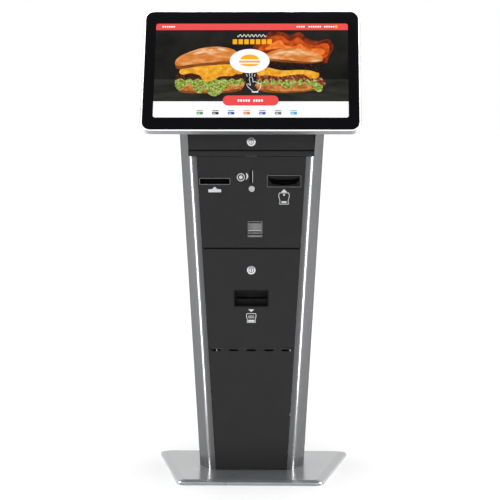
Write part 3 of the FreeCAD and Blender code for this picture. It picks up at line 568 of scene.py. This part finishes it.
# Coin fittings: slot plate, reject button, return cup and its hinged flap.
# Pressed or turned steel: the plate is dark nickel, the button stainless; the flap and cup are stainless
# coloured darker as painted shade.
stainless = brushed_steel("stainless", (0.60, 0.60, 0.61), 0)
dress(brushed_steel("dark_nickel", (0.030, 0.030, 0.032), 2), "coin_slot_plate")
plate_low, plate_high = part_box("coin_slot_plate")
# Painted highlight: a bright steel strip along the slot's right side, a little proud, for the light on the
# slot's edge.
slot_edge_highlight = bmesh.new()
slot_edge_highlight_outline = moved(rounded_outline(0.0008, (plate_high[2] - plate_low[2]) / 2 - 0.0005, 0.0006),
                      plate_high[0] - 0.0009, (plate_low[2] + plate_high[2]) / 2)
add_prism(slot_edge_highlight, slot_edge_highlight_outline, lambda px, pz, h: Vector((px, plate_low[1] - h, pz)), -0.0002, 0.0005)
to_piece("coin_slot_highlight", slot_edge_highlight, stainless, "cabinet")
dress(stainless, "reject_button")
# Painted shade: the same stainless, darkened, for the flap and the cup.
shaded_stainless = brushed_steel("shaded_stainless", (0.22, 0.22, 0.225), 2)
dress(shaded_stainless, "coin_return_flap", "coin_cup")

flap_low, flap_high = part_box("coin_return_flap")
flap_height = flap_high[2] - flap_low[2]
BEAD_DOWN = 0.72           # how far down the flap its bead lies, as a share of its height
bead_z = flap_high[2] - BEAD_DOWN * flap_height
flap_half = (flap_high[0] - flap_low[0]) / 2


def flap_strip(name, z, half_z, face, finish):
    """Strip across the flap: the bright pressed bead, or the painted shadow under it."""
    mesh = bmesh.new()
    middle_x = (flap_low[0] + flap_high[0]) / 2
    outline = moved(rounded_outline(flap_half - 0.0004, half_z, 0.0005), middle_x, z)
    add_prism(mesh, outline, lambda px, pz, h: Vector((px, face - h, pz)), -0.0002, 0.0006)
    to_piece(name, mesh, finish, "coin_flap")


flap_strip("flap_bead", bead_z, 0.0011, flap_low[1], stainless)
flap_strip("flap_shade", bead_z - 0.0032, 0.0013, flap_low[1] + 0.0004, shade_black)


# Bought units behind the front: card reader, coin and note validators, cash box, printer and chutes.
# Plain dark grey moulded cases, seen only with the doors open.
case_grey = moulded_plastic("module_plastic", (0.075, 0.076, 0.080), 0.45, 0.60)
dress(case_grey, "card_reader", "coin_validator", "coin_chutes", "note_validator", "note_cash_box",
      "receipt_printer", "printer_lid")


# Receipt roll: white thermal paper wound on its spindle, with the turns showing at its ends.
def roll_paper():
    finish, tree, shader = new_finish("receipt_paper", (0.84, 0.84, 0.82), 0.0, 0.75)
    turns = grain(tree, 1500.0, 1.0, (0.05, 1.0, 1.0))
    tint(tree, turns, [(0.3, (0.74, 0.74, 0.71)), (0.7, (0.88, 0.88, 0.86))], shader.inputs["Base Color"])
    emboss(tree, turns, shader, 0.00002)
    return finish


dress(roll_paper(), "paper_roll")


# Computer and power supply: folded aluminium cases on the lower shelf, plain satin.
def satin_alloy():
    finish, tree, shader = new_finish("satin_alloy", (0.50, 0.51, 0.53), 0.9, 0.45)
    vary(tree, grain(tree, 800.0, 2.0), 0.38, 0.52, shader.inputs["Roughness"])
    tint(tree, grain(tree, 25.0, 3.0), [(0.3, (0.44, 0.45, 0.47)), (0.7, (0.54, 0.55, 0.57))],
         shader.inputs["Base Color"])
    return finish


dress(satin_alloy(), "computer", "power_supply")


# Display head: a sheet of black-printed glass, with the picture panel and its driver board behind.
# The glass is toughened, polished and bonded to the tray; its printed border hides the panel's edge.
def printed_glass():
    finish, tree, shader = new_finish("black_glass", (0.004, 0.004, 0.005), 0.0, 0.06)
    vary(tree, grain(tree, 5.0), 0.045, 0.075, shader.inputs["Roughness"])
    shader.inputs["IOR"].default_value = 1.52
    shader.inputs["Specular IOR Level"].default_value = 0.18
    return finish


def lacquered_board():
    finish, tree, shader = new_finish("circuit_board", (0.02, 0.16, 0.07), 0.0, 0.35)
    tint(tree, grain(tree, 420.0, 1.0, (1.0, 0.2, 1.0)),
         [(0.45, (0.02, 0.15, 0.06)), (0.55, (0.05, 0.24, 0.11))], shader.inputs["Base Color"])
    return finish


dress(printed_glass(), "cover_glass")
dress(lacquered_board(), "display_driver_board")
dress(case_grey, "display_panel")

HEAD_TILT = math.radians(31.0)
GLASS_THICKNESS = 0.004
out_of_glass = Vector((0.0, -math.cos(HEAD_TILT), math.sin(HEAD_TILT)))
up_the_glass = Vector((0.0, math.sin(HEAD_TILT), math.cos(HEAD_TILT)))
glass_face = Vector(middle_of("cover_glass")) + out_of_glass * GLASS_THICKNESS / 2


def on_glass(u, v, height):
    """u to the right and v up the slope, in metres from the middle of the glass."""
    return glass_face + Vector((u, 0.0, 0.0)) + up_the_glass * v + out_of_glass * height


# Head rim: one bent and welded aluminium strip round the glass, with a rounded front edge.
# It is satin anodised; a near-white band along its front is painted highlight.
def satin_rim():
    finish, tree, shader = new_finish("satin_rim", (0.34, 0.34, 0.35), 0.85, 0.36)
    tint(tree, grain(tree, 30.0, 3.0), [(0.3, (0.32, 0.32, 0.33)), (0.7, (0.36, 0.36, 0.37))],
         shader.inputs["Base Color"])
    return finish


def rim_highlight_paint():
    # Painted highlight: near white, for the light the rim's front face catches.
    finish, tree, shader = new_finish("rim_highlight_paint", (0.90, 0.90, 0.91), 0.20, 0.32)
    tint(tree, grain(tree, 30.0, 3.0), [(0.3, (0.87, 0.87, 0.88)), (0.7, (0.92, 0.92, 0.93))],
         shader.inputs["Base Color"])
    return finish


RIM_WALL, RIM_ROUND = 0.005, 0.0018
RIM_STANDS = 0.001         # how far the rim stands in front of the glass
RIM_DEPTH = 0.016
RIM_CORNER = 0.028


def rim_loop(mesh, inset, height):
    outline = rounded_outline(rim_half_u - inset, rim_half_v - inset, RIM_CORNER - inset, 16)
    return [mesh.verts.new(on_glass(u, v, height)) for u, v in outline]


rim_half_u = half_size("head_rim")[0]
rim_half_v = 0.1912        # half of the rim's height up the slope
ROUND_STEPS = 8
rim_section = [(0.0, -RIM_DEPTH)]
for i in range(ROUND_STEPS + 1):
    turn = math.pi / 2 * i / ROUND_STEPS
    rim_section.append((RIM_ROUND * (1 - math.cos(turn)), RIM_STANDS - RIM_ROUND * (1 - math.sin(turn))))
rim_section += [(RIM_WALL, RIM_STANDS), (RIM_WALL, -RIM_DEPTH)]
rim = bmesh.new()
wrap(rim, [rim_loop(rim, inset, height) for inset, height in rim_section])
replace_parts(to_piece("rim_strip", rim, satin_rim(), "head", smooth_below=40), "head_rim")

HIGHLIGHT_FROM = 0.0013          # outer border of the painted highlight on the rim's front
HIGHLIGHT_PROUD = 0.00006
HIGHLIGHT_FOOT = 0.0004          # height of the band's foot over the glass
highlight_band = bmesh.new()
highlight_section = [(HIGHLIGHT_FROM, HIGHLIGHT_FOOT), (HIGHLIGHT_FROM, RIM_STANDS + HIGHLIGHT_PROUD),
                 (RIM_WALL, RIM_STANDS + HIGHLIGHT_PROUD), (RIM_WALL, HIGHLIGHT_FOOT)]
wrap(highlight_band, [rim_loop(highlight_band, inset, height) for inset, height in highlight_section])
to_piece("rim_painted_highlight", highlight_band, rim_highlight_paint(), "head")


# Screen picture: the start page of a meal counter, as flat lit shapes on the glass.
# A red strip, a dark picture panel with two burgers, a button, and a white foot strip.
SCREEN_WIDTH, SCREEN_HEIGHT = 0.5270, 0.2965
FILM = 0.00004             # thickness of one layer of the picture


def at(across, down):
    """Point on the screen from its share across and down."""
    return (across - 0.5) * SCREEN_WIDTH, (0.5 - down) * SCREEN_HEIGHT


def lit(red, green, blue):
    """Screen colour from its usual 0 to 255 levels."""
    def level(c):
        c /= 255.0
        return c / 12.92 if c <= 0.04045 else ((c + 0.055) / 1.055) ** 2.4
    return level(red), level(green), level(blue)


def lit_plain(name, colour):
    finish, _, shader = new_finish(name, (0.0, 0.0, 0.0), 0.0, 0.08)
    shader.inputs["Emission Color"].default_value = (*colour, 1.0)
    shader.inputs["Emission Strength"].default_value = 1.0
    return finish


def lit_mottled(name, stops, scale, stretch=(1.0, 1.0, 1.0), detail=4.0):
    """Picture colour that varies as food does; each stop is a place and 0 to 255 levels."""
    finish, tree, shader = new_finish(name, (0.0, 0.0, 0.0), 0.0, 0.08)
    shader.inputs["Emission Strength"].default_value = 1.0
    marks = [(place, lit(*levels)) for place, *levels in stops]
    tint(tree, grain(tree, scale, detail, stretch), marks, shader.inputs["Emission Color"])
    return finish


def picture(name, outlines, layer, finish):
    mesh = bmesh.new()
    for outline in outlines:
        add_prism(mesh, outline, on_glass, layer * FILM, (layer + 0.8) * FILM)
    return to_piece(name, mesh, finish, "head")


def flowing(points, steps=5):
    """Smooth closed outline through a few screen points given as shares across and down."""
    ends = [at(*p) for p in points]
    count = len(ends)
    line = []
    for i in range(count):
        a, b, c, d = (ends[(i + k - 1) % count] for k in range(4))
        for step in range(steps):
            t = step / steps
            line.append(tuple(
                0.5 * (2 * b[k] + (c[k] - a[k]) * t + (2 * a[k] - 5 * b[k] + 4 * c[k] - d[k]) * t * t
                       + (3 * b[k] - a[k] - 3 * c[k] + d[k]) * t ** 3) for k in (0, 1)))
    return line


def block(across, down, half_across, half_down, radius=0.0012):
    """Rounded rectangle on the screen, its middle and half sizes as shares."""
    u, v = at(across, down)
    half_u, half_v = half_across * SCREEN_WIDTH, half_down * SCREEN_HEIGHT
    return moved(rounded_outline(half_u, half_v, min(radius, half_u * 0.9, half_v * 0.9)), u, v)


def frill(x0, x1, top, foot, waves, swell):
    """Strip with frilled edges, like a leaf or a rasher between two slices."""
    count = waves * 6
    upper = [at(x0 + (x1 - x0) * i / count,
                top + swell * math.sin(math.tau * i / 6 + 0.6)) for i in range(count + 1)]
    lower = [at(x0 + (x1 - x0) * i / count, foot + 1.5 * swell * math.sin(math.tau * i / 6 * 0.83 + 2.0))
             for i in range(count + 1)]
    return upper + lower[::-1]


corner = 0.0065
page = rounded_outline(SCREEN_WIDTH / 2, SCREEN_HEIGHT / 2, corner, 8)
foot_line, strip_line = at(0, 0.832)[1], at(0, 0.070)[1]
foot_outline = [(u, min(v, foot_line)) for u, v in page]
strip_outline = [(u, max(v, strip_line)) for u, v in page]


def tidy_run(points):
    """Drops points that a clipped outline repeats."""
    kept = []
    for p in points:
        if not kept or math.dist(p, kept[-1]) > 1e-7:
            kept.append(p)
    return kept if math.dist(kept[0], kept[-1]) > 1e-7 else kept[:-1]


night = lit_mottled("picture_night", [(0.30, 14, 14, 12), (0.70, 34, 33, 30)], 16.0)
slate = lit_mottled("picture_slate", [(0.30, 24, 25, 23), (0.72, 52, 52, 47)], 30.0, (0.4, 1.0, 2.0))
picture("page_dark", [[at(0.0, 0.070), at(0.0, 0.832), at(1.0, 0.832), at(1.0, 0.070)]], 1, night)
picture("page_table", [[at(0.0, 0.60), at(0.0, 0.832), at(1.0, 0.832), at(1.0, 0.60)]], 2, slate)
picture("page_foot", [tidy_run(foot_outline)], 2, lit_plain("screen_white", lit(255, 255, 255)))
red_glow = lit_plain("screen_red", lit(240, 80, 79))
picture("page_strip", [tidy_run(strip_outline)], 2, red_glow)

# Flames behind the right-hand burger, in three nested tongues.
flame_dark = lit_mottled("flame_dark", [(0.35, 60, 20, 8), (0.65, 150, 52, 14)], 55.0)
flame_mid = lit_mottled("flame_mid", [(0.35, 160, 58, 14), (0.65, 226, 92, 22)], 60.0)
flame_hot = lit_mottled("flame_hot", [(0.35, 228, 96, 26), (0.70, 252, 148, 60)], 70.0)
picture("flame_outer", [flowing([(.50, .30), (.53, .20), (.57, .13), (.60, .085), (.66, .095), (.70, .12),
                                 (.75, .095), (.79, .16), (.84, .19), (.90, .17), (.925, .25), (.90, .36),
                                 (.88, .43), (.78, .36), (.60, .34)])], 2, flame_dark)
picture("flame_middle", [flowing([(.54, .29), (.57, .20), (.62, .13), (.66, .14), (.70, .19), (.74, .15),
                                  (.78, .21), (.83, .24), (.885, .21), (.905, .27), (.88, .37), (.80, .33),
                                  (.66, .29)])], 3, flame_mid)
picture("flame_inner", [flowing([(.57, .28), (.61, .21), (.65, .18), (.67, .23), (.72, .25), (.75, .22),
                                 (.79, .27), (.86, .27), (.88, .31), (.85, .34), (.76, .29), (.64, .27)])],
        4, flame_hot)

# The two burgers, each built up slice by slice from the lower bun to the glazed top.
crust = lit_mottled("bun_crust", [(0.32, 150, 82, 32), (0.50, 196, 118, 52), (0.70, 224, 158, 92)], 90.0)
glaze = lit_mottled("bun_glaze", [(0.30, 196, 104, 40), (0.52, 224, 140, 66), (0.74, 246, 204, 160)],
                    46.0, (0.6, 1.0, 1.6))
shade = lit_mottled("bun_shade", [(0.35, 112, 56, 20), (0.70, 164, 92, 38)], 120.0, (0.3, 1.0, 2.0))
cheese = lit_mottled("melted_cheese", [(0.30, 214, 132, 26), (0.55, 246, 176, 48), (0.75, 254, 204, 96)],
                     70.0)
meat = lit_mottled("grilled_meat", [(0.34, 20, 10, 8), (0.58, 78, 38, 24), (0.75, 140, 84, 54)], 260.0)
leaf = lit_mottled("green_leaf", [(0.32, 74, 88, 26), (0.52, 150, 168, 70), (0.72, 222, 226, 158)], 190.0)
rasher = lit_mottled("crisp_rasher", [(0.34, 64, 22, 14), (0.56, 150, 70, 40), (0.74, 226, 176, 128)], 170.0)
seeds = lit_mottled("seeded_crust", [(0.42, 12, 9, 8), (0.60, 40, 24, 18), (0.74, 150, 92, 58)], 420.0)

left_slices = [
    ("lower_bun", crust, [flowing([(.125, .63), (.30, .625), (.455, .615), (.465, .66), (.44, .72),
                                   (.37, .742), (.27, .748), (.17, .742), (.127, .715), (.118, .67)])]),
    ("lower_shade", shade, [flowing([(.135, .715), (.22, .728), (.34, .728), (.44, .700), (.430, .727),
                                     (.35, .744), (.22, .748), (.145, .738)])]),
    ("patty", meat, [flowing([(.122, .545), (.25, .53), (.40, .525), (.462, .545), (.468, .60), (.40, .63),
                              (.25, .635), (.13, .62)])]),
    ("leaf", leaf, [frill(.108, .462, .600, .662, 8, .010),
                    flowing([(.20, .65), (.25, .66), (.262, .72), (.235, .748), (.205, .71)], 4),
                    flowing([(.275, .65), (.36, .64), (.365, .70), (.325, .775), (.290, .765),
                             (.268, .71)], 4),
                    flowing([(.118, .60), (.150, .62), (.150, .70), (.125, .71), (.108, .66)], 4)]),
    ("cheese", cheese, [flowing([(.128, .515), (.16, .470), (.26, .455), (.38, .440), (.445, .450),
                                 (.455, .535), (.42, .545), (.40, .565), (.34, .570), (.30, .615),
                                 (.255, .618), (.235, .560), (.19, .535), (.145, .550)])]),
    ("top_shade", shade, [flowing([(.110, .440), (.18, .440), (.30, .415), (.42, .395), (.425, .425),
                                   (.33, .445), (.23, .462), (.165, .485), (.120, .490)])]),
    ("top_bun", glaze, [flowing([(.104, .430), (.122, .365), (.175, .310), (.245, .265), (.318, .250),
                                 (.385, .268), (.425, .310), (.432, .385), (.36, .405), (.26, .425),
                                 (.175, .445), (.125, .462)])]),
    ("top_gleam", lit_mottled("bun_gleam", [(0.35, 228, 152, 84), (0.65, 252, 222, 186)], 90.0,
                              (0.5, 1.0, 1.5)),
     [flowing([(.20, .315), (.26, .285), (.30, .280), (.285, .300), (.235, .325), (.20, .335)], 4),
      flowing([(.325, .270), (.365, .276), (.385, .300), (.355, .300), (.325, .285)], 4)]),
]
right_slices = [
    ("lower_bun", crust, [flowing([(.530, .645), (.65, .635), (.82, .630), (.852, .665), (.825, .715),
                                   (.72, .742), (.62, .740), (.555, .722), (.528, .69)])]),
    ("lower_shade", shade, [flowing([(.545, .705), (.64, .725), (.76, .722), (.825, .698), (.815, .720),
                                     (.72, .742), (.62, .740), (.56, .722)])]),
    ("leaf", leaf, [frill(.530, .868, .590, .655, 9, .011),
                    flowing([(.80, .60), (.86, .62), (.868, .70), (.850, .735), (.815, .69)], 4),
                    flowing([(.66, .61), (.71, .61), (.715, .67), (.69, .70), (.66, .66)], 4)]),
    ("rasher", rasher, [frill(.528, .850, .548, .612, 11, .012),
                        flowing([(.835, .57), (.870, .60), (.885, .66), (.862, .655), (.835, .62)], 4)]),
    ("cheese", cheese, [flowing([(.530, .510), (.58, .475), (.66, .490), (.76, .500), (.832, .490),
                                 (.850, .545), (.838, .590), (.800, .585), (.77, .548), (.70, .556),
                                 (.65, .572), (.59, .556), (.54, .560)])]),
    ("patty", seeds, [flowing([(.560, .400), (.66, .405), (.77, .425), (.850, .440), (.868, .485),
                               (.850, .530), (.80, .505), (.74, .500), (.66, .505), (.60, .480),
                               (.565, .455)])]),
    ("top_shade", shade, [flowing([(.560, .370), (.66, .385), (.78, .410), (.862, .395), (.858, .415),
                                   (.79, .432), (.68, .418), (.575, .400)])]),
    ("top_bun", glaze, [flowing([(.545, .370), (.585, .315), (.645, .278), (.715, .265), (.785, .285),
                                 (.840, .320), (.867, .362), (.862, .402), (.80, .415), (.72, .402),
                                 (.63, .385), (.565, .385)])]),
    ("top_gleam", bpy.data.materials["bun_gleam"],
     [flowing([(.62, .320), (.68, .298), (.72, .302), (.69, .322), (.63, .340)], 4),
      flowing([(.755, .300), (.81, .322), (.835, .350), (.80, .345), (.76, .320)], 4)]),
]
for side, slices in (("left", left_slices), ("right", right_slices)):
    for layer, (slice_name, slice_finish, outlines) in enumerate(slices):
        picture(f"{side}_{slice_name}", outlines, 5 + layer, slice_finish)

# Oval plate with a plain burger sign, a start button, a pointing hand, and blocks in place of words.
white_glow = bpy.data.materials["screen_white"]
amber_glow = lit_plain("screen_amber", lit(250, 180, 30))
oval = moved(round_outline(0.103 * SCREEN_WIDTH, 0.1285 * SCREEN_HEIGHT, 48), *at(0.491, 0.405))
picture("oval_plate", [oval], 15, white_glow)
sign_top = [at(0.491 + 0.048 * math.cos(math.pi * i / 16), 0.388 - 0.052 * math.sin(math.pi * i / 16))
            for i in range(17)]
sign_foot = [at(0.491 + 0.048 * math.cos(math.pi * i / 16), 0.436 + 0.026 * math.sin(math.pi * i / 16))
             for i in range(17)]
picture("oval_sign", [sign_top, block(0.491, 0.412, 0.055, 0.011), sign_foot[::-1]], 16, amber_glow)
picture("start_button", [block(0.499, 0.824, 0.1425, 0.053, 0.0150)], 15, red_glow)
start_words = [block(0.437 + 0.0135 * i + (0.012 if i > 4 else 0.0), 0.824, 0.0047, 0.0125)
               for i in range(9)]
picture("start_words", start_words, 16, white_glow)
picture("title_words", [block(0.413 + 0.0300 * i, 0.198, 0.0115, 0.0265) for i in range(7)], 15, amber_glow)
script_line = [at(0.425 + 0.150 * i / 48, 0.132 + 0.014 * math.sin(math.tau * i / 6.4)) for i in range(49)]
picture("title_script", [stroke(script_line, 0.0016)], 15, white_glow)
strip_words = [block(0.036 + 0.0115 * i, 0.034, 0.0040, 0.0085) for i in range(6)]
strip_words += [block(0.737 + 0.0115 * i + (0.016 if i > 3 else 0.0) + (0.012 if i > 9 else 0.0), 0.034,
                      0.0040, 0.0085) for i in range(15)]
picture("strip_words", strip_words, 3, white_glow)
picture("strip_bell", [block(0.940, 0.034, 0.0060, 0.0170)], 3, amber_glow)

finger = [(0.497, 0.665), (0.490, 0.590), (0.493, 0.575), (0.503, 0.575), (0.507, 0.590), (0.510, 0.630)]
knuckles = [(0.510, 0.630), (0.522, 0.622), (0.526, 0.636), (0.536, 0.630), (0.540, 0.645), (0.548, 0.642),
            (0.551, 0.665), (0.545, 0.700), (0.534, 0.722)]
thumb = [(0.497, 0.665), (0.484, 0.645), (0.477, 0.652), (0.484, 0.680), (0.500, 0.708), (0.508, 0.722)]
rays = [[(0.480 + 0.012 * i, 0.572 - 0.010 * (1 - abs(i - 1.5) / 1.5)),
         (0.475 + 0.015 * i, 0.545 - 0.016 * (1 - abs(i - 1.5) / 1.5))] for i in range(4)]
hand_lines = [stroke([at(*p) for p in run], 0.0013) for run in (finger, knuckles, thumb, *rays)]
hand_lines.append(block(0.521, 0.733, 0.0165, 0.0060, 0.0006))
picture("pointing_hand", hand_lines, 15, white_glow)

card_colours = [(70, 150, 90), (40, 42, 46), (36, 84, 168), (232, 120, 44), (72, 92, 190), (112, 108, 116),
                (60, 168, 224)]
for number, colour in enumerate(card_colours):
    place = 0.240 + 0.0800 * number
    glow = lit_plain(f"pay_card_{number}", lit(*colour))
    picture(f"pay_card_{number}", [block(place, 0.947, 0.0165, 0.0215, 0.0012)], 3, glow)
    picture(f"pay_card_stripe_{number}", [block(place, 0.938, 0.0165, 0.0045, 0.0002),
                                          block(place - 0.006, 0.956, 0.0060, 0.0035, 0.0002)], 4, white_glow)


# Hinges of the head and the rear door: knuckles and leaves in zinc-plated steel, with plain pins.
# The leaves are screwed to the roof and rear frame, and spot welded to the rear door.
dress(zinc, "head_hinge_upper", "head_hinge_lower", "rear_hinge_leaves")


# Rear cable grommet: a plain black rubber ring pressed into the rear frame.
def black_rubber():
    finish, tree, shader = new_finish("black_rubber", (0.018, 0.018, 0.018), 0.0, 0.70)
    vary(tree, grain(tree, 300.0), 0.62, 0.80, shader.inputs["Roughness"])
    emboss(tree, grain(tree, 1200.0), shader, 0.00003)
    return finish


dress(black_rubber(), "cable_grommet")


# Floor: a wide sheet of pale studio card that the terminal stands on.
FLOOR_SIZE = 60.0


def studio_card():
    finish, tree, shader = new_finish("studio_card", (0.88, 0.88, 0.88), 0.0, 0.6)
    tint(tree, grain(tree, 3.0), [(0.3, (0.87, 0.87, 0.87)), (0.7, (0.89, 0.89, 0.89))],
         shader.inputs["Base Color"])
    return finish


sheet = bmesh.new()
bmesh.ops.create_grid(sheet, x_segments=2, y_segments=2, size=FLOOR_SIZE / 2)
floor_mesh = bpy.data.meshes.new("floor")
sheet.to_mesh(floor_mesh)
sheet.free()
floor_mesh.materials.append(studio_card())
floor = bpy.data.objects.new("floor", floor_mesh)
bpy.context.scene.collection.objects.link(floor)


# Studio light: a white room, darker overhead, an even light from above and three soft boxes.
# The boxes show only in glossy surfaces; those at the sides are for the trims' light lines.
def white_room():
    world = bpy.data.worlds.new("white_room")
    world.use_nodes = True
    tree = world.node_tree
    backdrop = tree.nodes["Background"]
    place = tree.nodes.new("ShaderNodeTexCoord")
    split = tree.nodes.new("ShaderNodeSeparateXYZ")
    tree.links.new(place.outputs["Generated"], split.inputs["Vector"])
    tint(tree, split.outputs["Z"], [(0.0, (1.0, 1.0, 1.0)), (0.30, (1.0, 1.0, 1.0)),
                                    (0.55, (0.14, 0.14, 0.15)),
                                    (1.0, (0.06, 0.06, 0.07))], backdrop.inputs["Color"])
    backdrop.inputs["Strength"].default_value = 1.0
    bpy.context.scene.world = world


def soft_box(name, place, aim, width, height, power):
    lamp = bpy.data.lights.new(name, "AREA")
    lamp.shape = "RECTANGLE"
    lamp.size, lamp.size_y = width, height
    lamp.energy = power
    stand = bpy.data.objects.new(name, lamp)
    stand.location = place
    stand.rotation_euler = (Vector(aim) - Vector(place)).to_track_quat("-Z", "Y").to_euler()
    stand.visible_diffuse = False
    stand.visible_camera = False
    bpy.context.scene.collection.objects.link(stand)


def even_top_light():
    lamp = bpy.data.lights.new("ceiling_cloth", "SUN")
    lamp.energy = 3.4
    lamp.angle = math.radians(70.0)
    stand = bpy.data.objects.new("ceiling_cloth", lamp)
    stand.visible_glossy = False
    bpy.context.scene.collection.objects.link(stand)


white_room()
even_top_light()
SIDE_BOX_OUT, SIDE_BOX_BACK, SIDE_BOX_UP = 1.05, 0.11, 0.50
SIDE_BOX_WIDTH, SIDE_BOX_HEIGHT = 0.20, 0.98
for name, side, power in (("box_left", -1, 27.0), ("box_right", 1, 31.0)):
    soft_box(name, (side * SIDE_BOX_OUT, SIDE_BOX_BACK, SIDE_BOX_UP), (0.0, -0.07, SIDE_BOX_UP),
             SIDE_BOX_WIDTH, SIDE_BOX_HEIGHT, power)
soft_box("box_above", (0.0, -0.42, 2.6), (0.0, -0.3, 0.0), 2.6, 0.25, 75.0)


# Camera: a long lens at the height of the display's middle, looking slightly down at the cabinet
# from just right of its centre line.
camera_data = bpy.data.cameras.new("camera")
camera_data.lens = 137.1
camera_data.sensor_width = 36.0
camera = bpy.data.objects.new("camera", camera_data)
camera.location = (0.130, -5.268, 1.112)
looks_at = Vector((-0.0035, -0.068, 0.624))
camera.rotation_euler = (looks_at - camera.location).to_track_quat("-Z", "Y").to_euler()
bpy.context.scene.collection.objects.link(camera)
bpy.context.scene.camera = camera
bpy.context.scene.view_settings.view_transform = "Standard"
